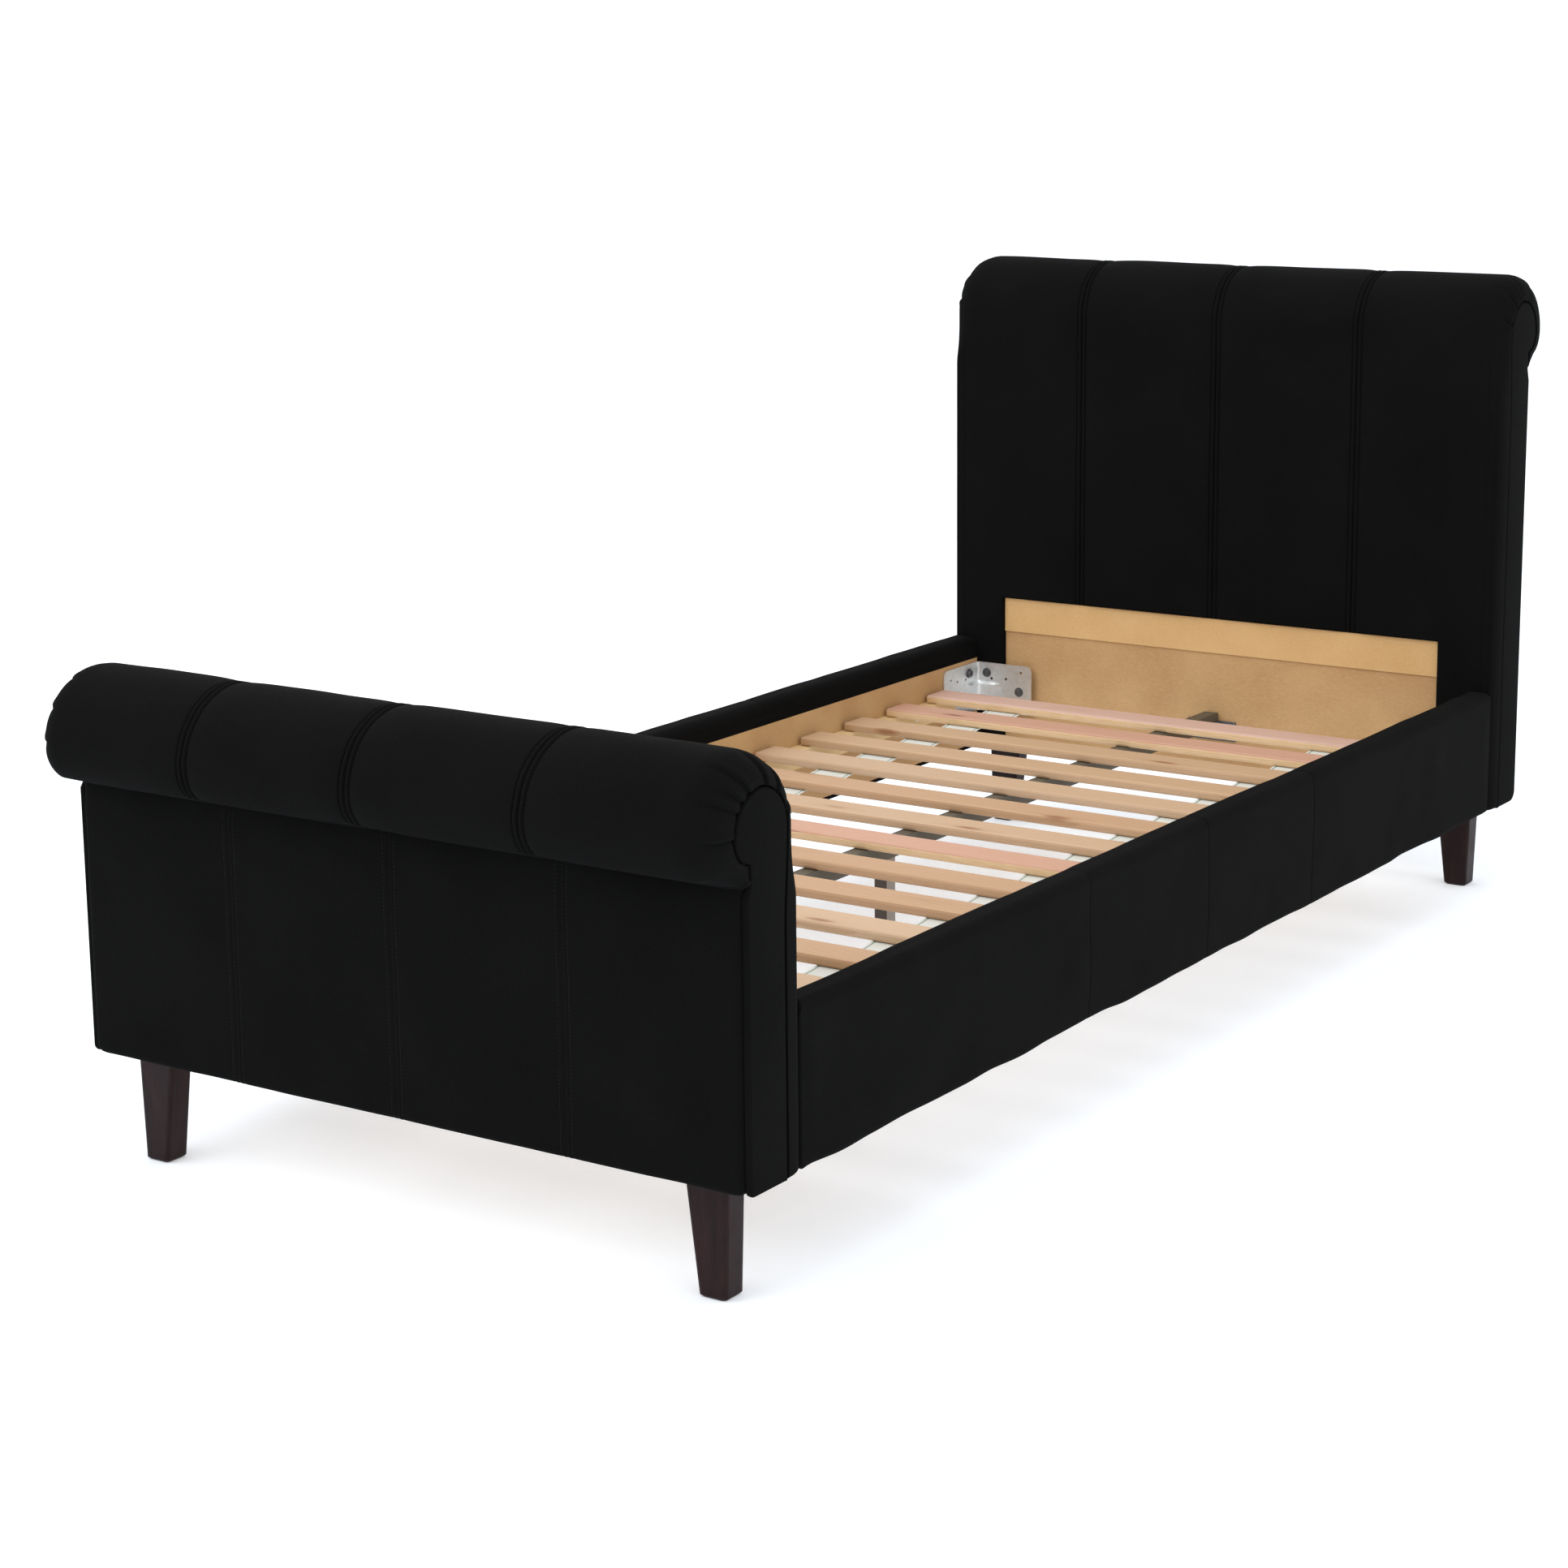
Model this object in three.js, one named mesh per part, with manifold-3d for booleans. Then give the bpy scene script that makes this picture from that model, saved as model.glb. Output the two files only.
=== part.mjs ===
// A single sleigh bed: scroll-topped upholstered headboard and footboard, padded side rails,
// a slatted base on ledgers with a steel centre rail, and tapered wooden legs.
// Millimetres. +Z is up, +Y runs from the foot to the head, +X is the right side seen from the foot.
// The origin is on the floor at the middle of the bed.

import * as THREE from 'three';
import * as BufferGeometryUtils from 'three/addons/utils/BufferGeometryUtils.js';
import Module from 'manifold-3d';

// ---------- driving dimensions ----------
const GAP = 0.3; // left between pieces that touch

const BAY_LENGTH = 2030; // between the inner faces of the headboard and the footboard
const BAY_WIDTH = 925; // between the inner faces of the side rails
const FLOOR_CLEARANCE = 143; // floor to the underside of the upholstery

const FOOT_TOP = 650; // floor to the top of the footboard's roll
const HEAD_TOP = 1010; // floor to the top of the headboard's roll
const BOARD_DEPTH = 108; // inner face to outer face, below the roll
const COVER_THICKNESS = 24.7; // padded cover on the inner face
const FACING_THICKNESS = 8; // padded scroll facing on each end
const END_BOARD_THICKNESS = 18;
const END_BOARD_INSET = 1; // end board inside the facing's outline
const OUTER_PAD_THICKNESS = 19.7;
const OUTER_BOARD_THICKNESS = 3.2;

const ROLL_RADIUS = 92.5; // top of the roll
const ROLL_FRONT_PADDING = 58; // from the scroll's head out to the roll's front
const ROLL_END_ROUND = 42; // how far the roll rounds over towards its facing
const ROLL_END_SHARE = 0.12; // share of the cover's thickness left at its very end
const LIP_OVERHANG = 7; // the roll's lip past the outer face
const LIP_BELOW_NECK = 27; // the roll's lip below the scroll's neck
const LIP_THICKNESS = 11; // the roll's lip where it ends on the outer face
const LIP_EDGE = 3; // rise of the lip's rounded edge
const ROLL_TUCK_ANGLE = -50; // degrees, where the tuck runs straight on to the lip
const SCROLL_NECK_SETBACK = 12; // scroll's lower centre behind the outer face

const LINING_HEIGHT = 274; // bare opening in the inner cover, from the underside up
const LINING_BORDER = 101.5; // padded border between the lining and the bed's side
const LINING_BOARD_RECESS = 10;
const LINING_BOARD_THICKNESS = 9;
const LINING_BATTEN_RECESS = 7;
const LINING_BATTEN_HEIGHT = 59;
const LINING_BATTEN_THICKNESS = 17;
const LINING_EDGE_GAP = 1;

const TOP_RAIL_SIZE = [45, 60]; // depth and height of the timber inside the roll
const FIXING_RAIL_SIZE = [20, 110]; // timber that the corner brackets bolt to
const FIXING_RAIL_BOTTOM = 200;
const BOTTOM_RAIL_HEIGHT = 45; // timber that the legs screw into
const BOTTOM_RAIL_SETBACK = 38; // behind the inner face
const BOTTOM_RAIL_CLEARANCE = 2.8; // to the outer board

const SIDE_RAIL_TOP = 344; // floor to the top of the padded rail
const SIDE_RAIL_THICKNESS = 45;
const SIDE_BOARD_THICKNESS = 18;
const SIDE_PAD_TOP_FLANGE = 39;
const SIDE_PAD_BOTTOM_FLANGE = 6;
const SIDE_PAD_TOP_ROUND = 12;
const SIDE_PAD_BOTTOM_ROUND = 5;
const END_OVERHANG = 4; // headboard and footboard past the side rails' outer faces

const SLAT_COUNT = 14;
const SLAT_WIDTH = 60;
const SLAT_THICKNESS = 14;
const SLAT_END_CLEARANCE = 7.5; // slat end to the side rail
const SLAT_TOP = 268; // floor to the top of the slats
const SLAT_EDGE_ROUND = 4;
const SLAT_END_MARGIN = 124; // inner face of the headboard to the first slat

const WEBBING_WIDTH = 65;
const WEBBING_THICKNESS = 1.2;
const WEBBING_INSET = 126; // rail's inner face to the webbing's outer edge

const LEDGER_SIZE = [25, 30]; // width and height
const BRACKET_CLEARANCE = 3; // ledger end to bracket

const BRACKET_STEEL = 3;
const BRACKET_HEIGHT = 88;
const BRACKET_BOTTOM = 210;
const BRACKET_RIGHT_DROP = 20; // the right-hand pair hangs this much lower
const BRACKET_HEAD_LEG = 108; // along the headboard or footboard
const BRACKET_RAIL_LEG = 115; // along the side rail
const BRACKET_CORNER_ROUND = 10;
const BRACKET_HOLE_RADIUS = 4.5;
const BRACKET_HEAD_HOLES = [[0.2, 0.79], [0.81, 0.46]]; // along the leg and up it, as shares
const BRACKET_RAIL_HOLES = [[0.3, 0.81], [0.8, 0.3]];

const CENTRE_RAIL_SIDE = 25; // square steel tube
const CENTRE_BRACKET_PLATE = [90, 48]; // width and height
const CENTRE_BRACKET_STEEL = 2.5;
const CENTRE_BRACKET_DROP = 14;
const CENTRE_BRACKET_REACH = 40;
const CENTRE_RAIL_PLAY = 0.5;
const CENTRE_LEG_SIDE = 22;
const CENTRE_LEG_Y = -30;
const CENTRE_CAP_SIDE = 27;
const CENTRE_CAP_HEIGHT = 9;

const LEG_TOP_WIDTH = 61;
const LEG_BOTTOM_WIDTH = 38;
const LEG_OUTER_TAPER = 5; // the rest of the taper is on the inner side
const LEG_DEPTH = 37;
const LEG_INSET = 51.5; // from the bed's side
const LEG_EDGE_ROUND = 5;
const LEG_FOOT_CHAMFER = 3;

const ARC_STEPS = 14; // facets over the roll
const TUCK_STEPS = 6;
const ROUND_STEPS = 4;
const END_ROUND_STEPS = 5;

// ---------- derived places ----------
const BAY_HALF = BAY_LENGTH / 2;
const RAIL_INNER_X = BAY_WIDTH / 2;
const RAIL_OUTER_X = RAIL_INNER_X + SIDE_RAIL_THICKNESS;
const HALF_WIDTH = RAIL_OUTER_X + END_OVERHANG;
const LINING_TOP = FLOOR_CLEARANCE + LINING_HEIGHT;
const LINING_HALF_WIDTH = HALF_WIDTH - LINING_BORDER;
const SLAT_HALF_LENGTH = RAIL_INNER_X - SLAT_END_CLEARANCE;
const SLAT_UNDERSIDE = SLAT_TOP - SLAT_THICKNESS;
const BASE_TOP = SLAT_UNDERSIDE - GAP; // top of everything that carries the slats
const END_BOARD_OUTER_X = HALF_WIDTH - FACING_THICKNESS - GAP;
const END_BOARD_INNER_X = END_BOARD_OUTER_X - END_BOARD_THICKNESS;
const OUTER_PAD_BACK = BOARD_DEPTH - OUTER_PAD_THICKNESS;
const OUTER_BOARD_BACK = OUTER_PAD_BACK - GAP - OUTER_BOARD_THICKNESS;
const BOTTOM_RAIL_DEPTH = OUTER_BOARD_BACK - BOTTOM_RAIL_CLEARANCE - BOTTOM_RAIL_SETBACK;
const ROLL_FRONT = 2 * ROLL_RADIUS;
const SCROLL_FRONT = ROLL_FRONT - ROLL_FRONT_PADDING;
const SCROLL_RADIUS = (SCROLL_FRONT - COVER_THICKNESS - GAP) / 2; // head of the scroll facing
const SCROLL_TUCK_RADIUS = SCROLL_FRONT - BOARD_DEPTH + SCROLL_NECK_SETBACK;
const LIP_DROP = SCROLL_TUCK_RADIUS + LIP_BELOW_NECK; // the roll's lip below its centre
const ROLL_TUCK_RADIUS = LIP_DROP - 8; // front of the roll, curling back under

// ---------- materials ----------
const finish = (color, roughness, metalness = 0) =>
  new THREE.MeshStandardMaterial({ color, roughness, metalness });
const BLACK_COVER = finish(0x141414, 0.6);
const PINE = finish(0xe1b48c, 0.6);
const REDWOOD = finish(0xcf9170, 0.6);
const TAN_BOARD = finish(0xba9669, 0.8);
const PALE_PINE = finish(0xe3c48e, 0.7);
const DARK_WOOD = finish(0x30241f, 0.4);
const ZINC = finish(0xb9bbbc, 0.35, 1);
const BROWN_STEEL = finish(0x51463f, 0.45, 0.6);
const GREY_STEEL = finish(0x5a5f63, 0.45, 0.9);
const WEB = finish(0xd5d6cc, 0.9);
const BLACK_PLASTIC = finish(0x1b1b1b, 0.6);

const bed = new THREE.Group();

function addPiece(name, geometry, material) {
  const piece = new THREE.Mesh(geometry, material);
  piece.name = name;
  bed.add(piece);
  return piece;
}

// ---------- shape helpers ----------
const AXIS_X = new THREE.Vector3(1, 0, 0);
const AXIS_Y = new THREE.Vector3(0, 1, 0);
const AXIS_Z = new THREE.Vector3(0, 0, 1);
const ALONG_X = new THREE.Matrix4().makeBasis(AXIS_Y, AXIS_Z, AXIS_X); // outline in (y, z)
const ALONG_Y = new THREE.Matrix4().makeBasis(AXIS_X, AXIS_Z, AXIS_Y.clone().negate()); // outline in (x, z)

// Points on an arc, both ends included. Angles in degrees, counted from the first axis.
function arcPoints(centre, radius, fromDeg, toDeg, steps) {
  const points = [];
  for (let i = 0; i <= steps; i++) {
    const angle = THREE.MathUtils.degToRad(fromDeg + ((toDeg - fromDeg) * i) / steps);
    points.push([centre[0] + radius * Math.cos(angle), centre[1] + radius * Math.sin(angle)]);
  }
  return points;
}

function roundedRectangle(x0, y0, x1, y1, radius, steps = ROUND_STEPS) {
  return [
    ...arcPoints([x1 - radius, y1 - radius], radius, 0, 90, steps),
    ...arcPoints([x0 + radius, y1 - radius], radius, 90, 180, steps),
    ...arcPoints([x0 + radius, y0 + radius], radius, 180, 270, steps),
    ...arcPoints([x1 - radius, y0 + radius], radius, 270, 360, steps),
  ];
}

const toShape = (points) => new THREE.Shape(points.map(([a, b]) => new THREE.Vector2(a, b)));

// A solid of one outline along X, from x0 to x1. Points are (y, z).
function extrudeAlongX(points, x0, x1) {
  const geometry = new THREE.ExtrudeGeometry(toShape(points), { depth: x1 - x0, bevelEnabled: false });
  geometry.applyMatrix4(ALONG_X);
  geometry.translate(x0, 0, 0);
  return geometry;
}

// A solid of one outline along Y, from y0 to y1. Points are (x, z).
function extrudeAlongY(points, y0, y1) {
  const geometry = new THREE.ExtrudeGeometry(toShape(points), { depth: y1 - y0, bevelEnabled: false });
  geometry.applyMatrix4(ALONG_Y);
  geometry.translate(0, y1, 0);
  return geometry;
}

function box(x0, x1, y0, y1, z0, z1) {
  const geometry = new THREE.BoxGeometry(Math.abs(x1 - x0), Math.abs(y1 - y0), z1 - z0);
  geometry.translate((x0 + x1) / 2, (y0 + y1) / 2, (z0 + z1) / 2);
  return geometry;
}

function signedVolume(corners, faces) {
  const total = faces.reduce((sum, [a, b, c]) =>
    sum + corners[a].dot(corners[b].clone().cross(corners[c])), 0);
  return total / 6;
}

// A closed solid through loops of equal length, one behind the other, with flat ends.
// place turns a loop's point and its station into a position.
function loft(sections, place) {
  const count = sections[0].loop.length;
  const corners = sections.flatMap(({ at, loop }) => loop.map((point) => place(point, at)));
  const faces = [];
  for (let s = 0; s + 1 < sections.length; s++) {
    for (let i = 0; i < count; i++) {
      const a = s * count + i;
      const b = s * count + ((i + 1) % count);
      faces.push([a, b, b + count], [a, b + count, a + count]);
    }
  }
  const capOf = (loop) => {
    const outline = loop.map(([u, v]) => new THREE.Vector2(u, v));
    const clockwise = THREE.ShapeUtils.isClockWise(outline);
    const triangles = THREE.ShapeUtils.triangulateShape(outline, []);
    return triangles.map(([a, b, c]) => {
      const turn = new THREE.Vector2().subVectors(outline[b], outline[a])
        .cross(new THREE.Vector2().subVectors(outline[c], outline[a]));
      return (turn < 0) === clockwise ? [a, b, c] : [a, c, b];
    });
  };
  const last = (sections.length - 1) * count;
  capOf(sections[0].loop).forEach(([a, b, c]) => faces.push([a, c, b]));
  capOf(sections.at(-1).loop).forEach(([a, b, c]) => faces.push([last + a, last + b, last + c]));
  if (signedVolume(corners, faces) < 0) faces.forEach((face) => face.reverse());
  const geometry = new THREE.BufferGeometry();
  geometry.setAttribute('position', new THREE.Float32BufferAttribute(corners.flatMap((p) => p.toArray()), 3));
  geometry.setIndex(faces.flat());
  return geometry;
}

// ---------- joining and cutting ----------
const wasm = await Module();
wasm.setup();

function toSolid(geometry) {
  const bare = geometry.clone();
  bare.deleteAttribute('normal');
  bare.deleteAttribute('uv');
  const merged = BufferGeometryUtils.mergeVertices(bare, 1e-4);
  return new wasm.Manifold(new wasm.Mesh({
    numProp: 3,
    vertProperties: new Float32Array(merged.attributes.position.array),
    triVerts: new Uint32Array(merged.index.array),
  }));
}

function toGeometry(solid) {
  const mesh = solid.getMesh();
  const geometry = new THREE.BufferGeometry();
  geometry.setAttribute('position', new THREE.BufferAttribute(mesh.vertProperties, 3));
  geometry.setIndex(new THREE.BufferAttribute(mesh.triVerts, 1));
  return geometry;
}

// ---------- headboard and footboard ----------
// Both ends share one section. Its points are (u, z): u is the distance outwards from the
// inner face, so the inner face is u = 0 and the outer face is u = BOARD_DEPTH.

// The cover's section: up the inner face, over the roll and round to its lip, then back inside.
function coverPaths(top) {
  const rollZ = top - ROLL_RADIUS;
  const tuckU = ROLL_FRONT - ROLL_TUCK_RADIUS;
  const lipZ = rollZ - LIP_DROP;
  const lipU = BOARD_DEPTH + LIP_OVERHANG;
  const outer = [
    [0, FLOOR_CLEARANCE],
    [0, LINING_TOP],
    ...arcPoints([ROLL_RADIUS, rollZ], ROLL_RADIUS, 180, 0, ARC_STEPS),
    ...arcPoints([tuckU, rollZ], ROLL_TUCK_RADIUS, 0, ROLL_TUCK_ANGLE, TUCK_STEPS - 1).slice(1),
    [lipU, lipZ + LIP_EDGE],
    [lipU - LIP_THICKNESS, lipZ],
  ];
  const scroll = scrollCurve(top, -GAP);
  const inner = [
    [COVER_THICKNESS, FLOOR_CLEARANCE],
    [COVER_THICKNESS, LINING_TOP],
    ...scroll,
    [scroll.at(-1)[0], lipZ + LIP_EDGE],
  ];
  return { outer, inner };
}

// The scroll's curve, over its head and round to the neck. inset moves it inwards.
function scrollCurve(top, inset) {
  const scrollZ = top - ROLL_RADIUS;
  const scrollU = COVER_THICKNESS + GAP + SCROLL_RADIUS;
  const tuckU = SCROLL_FRONT - SCROLL_TUCK_RADIUS;
  return [
    ...arcPoints([scrollU, scrollZ], SCROLL_RADIUS - inset, 180, 0, ARC_STEPS),
    ...arcPoints([tuckU, scrollZ], SCROLL_TUCK_RADIUS - inset, 0, -84, TUCK_STEPS).slice(1),
  ];
}

// The keyhole outline of a scroll end: the curve above, and a straight band down to the underside.
function scrollOutline(top, inset, bandFront) {
  const curve = scrollCurve(top, inset);
  const neck = curve.at(-1);
  const lipZ = top - ROLL_RADIUS - LIP_DROP;
  return [
    [curve[0][0], FLOOR_CLEARANCE + inset],
    ...curve,
    [Math.min(neck[0], bandFront), lipZ - GAP * 2],
    [bandFront, lipZ - GAP * 2],
    [bandFront, FLOOR_CLEARANCE + inset],
  ];
}

function buildEnd(prefix, top, side) {
  const toY = (u) => side * (BAY_HALF + u);
  const inYZ = (points) => points.map(([u, z]) => [toY(u), z]);
  const barX = END_BOARD_INNER_X - GAP;
  const bar = (u, depth, z, height, halfX = barX) =>
    box(-halfX, halfX, toY(u), toY(u + depth), z, z + height);
  const lipZ = top - ROLL_RADIUS - LIP_DROP;
  const scrollZ = top - ROLL_RADIUS;
  const scrollU = COVER_THICKNESS + GAP + SCROLL_RADIUS;

  // padded cover: rounded over at both ends, with the lining's opening cut from its inner face
  const { outer, inner } = coverPaths(top);
  const coverEnd = HALF_WIDTH;
  const stations = [];
  for (let i = 0; i <= END_ROUND_STEPS; i++) {
    const angle = (Math.PI / 2) * (i / END_ROUND_STEPS);
    const share = ROLL_END_SHARE + (1 - ROLL_END_SHARE) * Math.sin(angle);
    stations.push({ fromEnd: ROLL_END_ROUND * (1 - Math.cos(angle)), share });
  }
  const coverSection = (at, share) => {
    const skin = outer.map(([u, z], i) => {
      const [innerU, innerZ] = inner[i];
      return [innerU + (u - innerU) * share, innerZ + (z - innerZ) * share];
    });
    return { at, loop: [...skin, ...inner.slice().reverse()] };
  };
  const sections = [
    ...stations.map(({ fromEnd, share }) => coverSection(-coverEnd + fromEnd, share)),
    ...stations.reverse().map(({ fromEnd, share }) => coverSection(coverEnd - fromEnd, share)),
  ];
  const coverSolid = toSolid(loft(sections, ([u, z], x) => new THREE.Vector3(x, toY(u), z)));
  const opening = box(-LINING_HALF_WIDTH, LINING_HALF_WIDTH, toY(-1), toY(COVER_THICKNESS + 1),
    FLOOR_CLEARANCE - 1, LINING_TOP);
  addPiece(`${prefix}_cover`, toGeometry(coverSolid.subtract(toSolid(opening))), BLACK_COVER);

  // scroll facings and the boards behind them
  const bandFront = BOARD_DEPTH - END_BOARD_INSET;
  const boardFront = OUTER_BOARD_BACK - GAP;
  for (const [hand, sign] of [['left', -1], ['right', 1]]) {
    const between = (inX, outX) => (sign > 0 ? [inX, outX] : [-outX, -inX]);
    const facing = inYZ(scrollOutline(top, 0, bandFront));
    addPiece(`${prefix}_scroll_facing_${hand}`,
      extrudeAlongX(facing, ...between(HALF_WIDTH - FACING_THICKNESS, HALF_WIDTH)), BLACK_COVER);
    const board = inYZ(scrollOutline(top, END_BOARD_INSET, boardFront));
    addPiece(`${prefix}_end_board_${hand}`,
      extrudeAlongX(board, ...between(END_BOARD_INNER_X, END_BOARD_OUTER_X)), PALE_PINE);
  }

  // timber between the end boards
  const [topDepth, topHeight] = TOP_RAIL_SIZE;
  addPiece(`${prefix}_top_rail`,
    bar(scrollU - topDepth / 2, topDepth, scrollZ - topHeight / 2, topHeight), PALE_PINE);
  const [fixingDepth, fixingHeight] = FIXING_RAIL_SIZE;
  addPiece(`${prefix}_fixing_rail`,
    bar(COVER_THICKNESS + GAP, fixingDepth, FIXING_RAIL_BOTTOM, fixingHeight), PALE_PINE);
  addPiece(`${prefix}_bottom_rail`,
    bar(BOTTOM_RAIL_SETBACK, BOTTOM_RAIL_DEPTH, FLOOR_CLEARANCE, BOTTOM_RAIL_HEIGHT), PALE_PINE);

  // outer face, from the underside up to the roll's lip
  const outerX = HALF_WIDTH - FACING_THICKNESS - GAP;
  const outerHeight = lipZ - GAP - FLOOR_CLEARANCE;
  addPiece(`${prefix}_outer_board`,
    bar(OUTER_BOARD_BACK, OUTER_BOARD_THICKNESS, FLOOR_CLEARANCE + END_BOARD_INSET,
      outerHeight - END_BOARD_INSET, outerX), TAN_BOARD);
  addPiece(`${prefix}_outer_pad`,
    bar(OUTER_PAD_BACK, OUTER_PAD_THICKNESS, FLOOR_CLEARANCE, outerHeight, outerX), BLACK_COVER);

  // bare lining low on the inner face
  const liningX = LINING_HALF_WIDTH - LINING_EDGE_GAP;
  const battenBottom = LINING_TOP - LINING_EDGE_GAP - LINING_BATTEN_HEIGHT;
  addPiece(`${prefix}_lining_batten`,
    bar(LINING_BATTEN_RECESS, LINING_BATTEN_THICKNESS, battenBottom, LINING_BATTEN_HEIGHT, liningX),
    PALE_PINE);
  addPiece(`${prefix}_lining_board`,
    bar(LINING_BOARD_RECESS, LINING_BOARD_THICKNESS, FLOOR_CLEARANCE + END_BOARD_INSET,
      battenBottom - GAP - FLOOR_CLEARANCE - END_BOARD_INSET, liningX), TAN_BOARD);
}

buildEnd('footboard', FOOT_TOP, -1);
buildEnd('headboard', HEAD_TOP, 1);

// ---------- side rails ----------
function sidePadOutline() {
  const board = RAIL_INNER_X + SIDE_BOARD_THICKNESS + GAP;
  const outer = RAIL_OUTER_X;
  const inner = RAIL_INNER_X;
  const underFlange = SIDE_RAIL_TOP - SIDE_PAD_TOP_FLANGE;
  const overFlange = FLOOR_CLEARANCE + SIDE_PAD_BOTTOM_FLANGE;
  const topRound = SIDE_PAD_TOP_ROUND;
  const lowRound = SIDE_PAD_BOTTOM_ROUND;
  return [
    [inner, underFlange],
    ...arcPoints([inner + lowRound, SIDE_RAIL_TOP - lowRound], lowRound, 180, 90, ROUND_STEPS),
    ...arcPoints([outer - topRound, SIDE_RAIL_TOP - topRound], topRound, 90, 0, ROUND_STEPS),
    ...arcPoints([outer - lowRound, FLOOR_CLEARANCE + lowRound], lowRound, 0, -90, ROUND_STEPS),
    [inner + GAP, FLOOR_CLEARANCE],
    [inner + GAP, overFlange],
    [board, overFlange],
    [board, underFlange],
  ];
}

const RAIL_END_Y = BAY_HALF - GAP;
const LEDGER_END_Y = BAY_HALF - BRACKET_RAIL_LEG - BRACKET_CLEARANCE;
for (const [hand, sign] of [['left', -1], ['right', 1]]) {
  const pad = sidePadOutline().map(([x, z]) => [sign * x, z]);
  addPiece(`side_rail_pad_${hand}`, extrudeAlongY(pad, -RAIL_END_Y, RAIL_END_Y), BLACK_COVER);
  addPiece(`side_rail_board_${hand}`,
    box(sign * RAIL_INNER_X, sign * (RAIL_INNER_X + SIDE_BOARD_THICKNESS), -RAIL_END_Y, RAIL_END_Y,
      FLOOR_CLEARANCE + SIDE_PAD_BOTTOM_FLANGE + GAP, SIDE_RAIL_TOP - SIDE_PAD_TOP_FLANGE - GAP), TAN_BOARD);
  const ledgerX = RAIL_INNER_X - GAP;
  addPiece(`slat_ledger_${hand}`,
    box(sign * (ledgerX - LEDGER_SIZE[0]), sign * ledgerX, -LEDGER_END_Y, LEDGER_END_Y,
      BASE_TOP - LEDGER_SIZE[1], BASE_TOP), PALE_PINE);
}

// ---------- slats and webbing ----------
const SLAT_FIRST_Y = BAY_HALF - SLAT_END_MARGIN - SLAT_WIDTH / 2;
const SLAT_PITCH = (2 * SLAT_FIRST_Y) / (SLAT_COUNT - 1);
const REDDISH_SLATS = new Set([1, 2, 8]);
for (let number = 1; number <= SLAT_COUNT; number++) {
  const centreY = SLAT_FIRST_Y - SLAT_PITCH * (number - 1);
  const outline = roundedRectangle(centreY - SLAT_WIDTH / 2, SLAT_UNDERSIDE,
    centreY + SLAT_WIDTH / 2, SLAT_TOP, SLAT_EDGE_ROUND, 2);
  addPiece(`slat_${String(number).padStart(2, '0')}`,
    extrudeAlongX(outline, -SLAT_HALF_LENGTH, SLAT_HALF_LENGTH), REDDISH_SLATS.has(number) ? REDWOOD : PINE);
}

const WEBBING_OUTER_X = RAIL_INNER_X - WEBBING_INSET;
const WEBBING_END_Y = BAY_HALF - SLAT_END_MARGIN;
for (const [hand, sign] of [['left', -1], ['right', 1]]) {
  addPiece(`slat_webbing_${hand}`,
    box(sign * (WEBBING_OUTER_X - WEBBING_WIDTH), sign * WEBBING_OUTER_X, -WEBBING_END_Y, WEBBING_END_Y,
      BASE_TOP - WEBBING_THICKNESS, BASE_TOP), WEB);
}

// ---------- corner brackets ----------
// One pressed plate, standing in the plane of u (along its leg) and z, with rounded free corners.
function bracketPlate(length, holes) {
  const round = BRACKET_CORNER_ROUND;
  const top = BRACKET_BOTTOM + BRACKET_HEIGHT;
  const plate = toShape([
    [0, BRACKET_BOTTOM],
    ...arcPoints([length - round, BRACKET_BOTTOM + round], round, -90, 0, ROUND_STEPS),
    ...arcPoints([length - round, top - round], round, 0, 90, ROUND_STEPS),
    [0, top],
  ]);
  for (const [along, up] of holes) {
    const hole = new THREE.Path();
    const holeZ = BRACKET_BOTTOM + BRACKET_HEIGHT * up;
    hole.absarc(length * along, holeZ, BRACKET_HOLE_RADIUS, 0, Math.PI * 2, true);
    plate.holes.push(hole);
  }
  return new THREE.ExtrudeGeometry(plate, { depth: BRACKET_STEEL, bevelEnabled: false, curveSegments: 5 });
}

function cornerBracket(signX, signY) {
  const railFace = RAIL_INNER_X - GAP;
  const endFace = BAY_HALF - GAP;
  // along the headboard or footboard: from the rail inwards
  const headPlate = bracketPlate(BRACKET_HEAD_LEG, BRACKET_HEAD_HOLES);
  const headOut = new THREE.Vector3(-signX, 0, 0);
  const headThickness = headOut.clone().cross(AXIS_Z);
  headPlate.applyMatrix4(new THREE.Matrix4().makeBasis(headOut, AXIS_Z, headThickness));
  const headShift = headThickness.y === signY ? endFace - BRACKET_STEEL : endFace;
  headPlate.translate(signX * railFace, signY * headShift, 0);
  // along the side rail: from the corner outwards
  const railPlate = bracketPlate(BRACKET_RAIL_LEG, BRACKET_RAIL_HOLES);
  const railOut = new THREE.Vector3(0, -signY, 0);
  const railThickness = railOut.clone().cross(AXIS_Z);
  railPlate.applyMatrix4(new THREE.Matrix4().makeBasis(railOut, AXIS_Z, railThickness));
  const railShift = railThickness.x === signX ? railFace - BRACKET_STEEL : railFace;
  railPlate.translate(signX * railShift, signY * endFace, 0);
  const lower = signX > 0 ? BRACKET_RIGHT_DROP : 0;
  headPlate.translate(0, 0, -lower);
  railPlate.translate(0, 0, -lower);
  return toGeometry(toSolid(headPlate).add(toSolid(railPlate)));
}

for (const [end, signY] of [['foot', -1], ['head', 1]]) {
  for (const [hand, signX] of [['left', -1], ['right', 1]]) {
    addPiece(`corner_bracket_${end}_${hand}`, cornerBracket(signX, signY), ZINC);
  }
}

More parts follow.
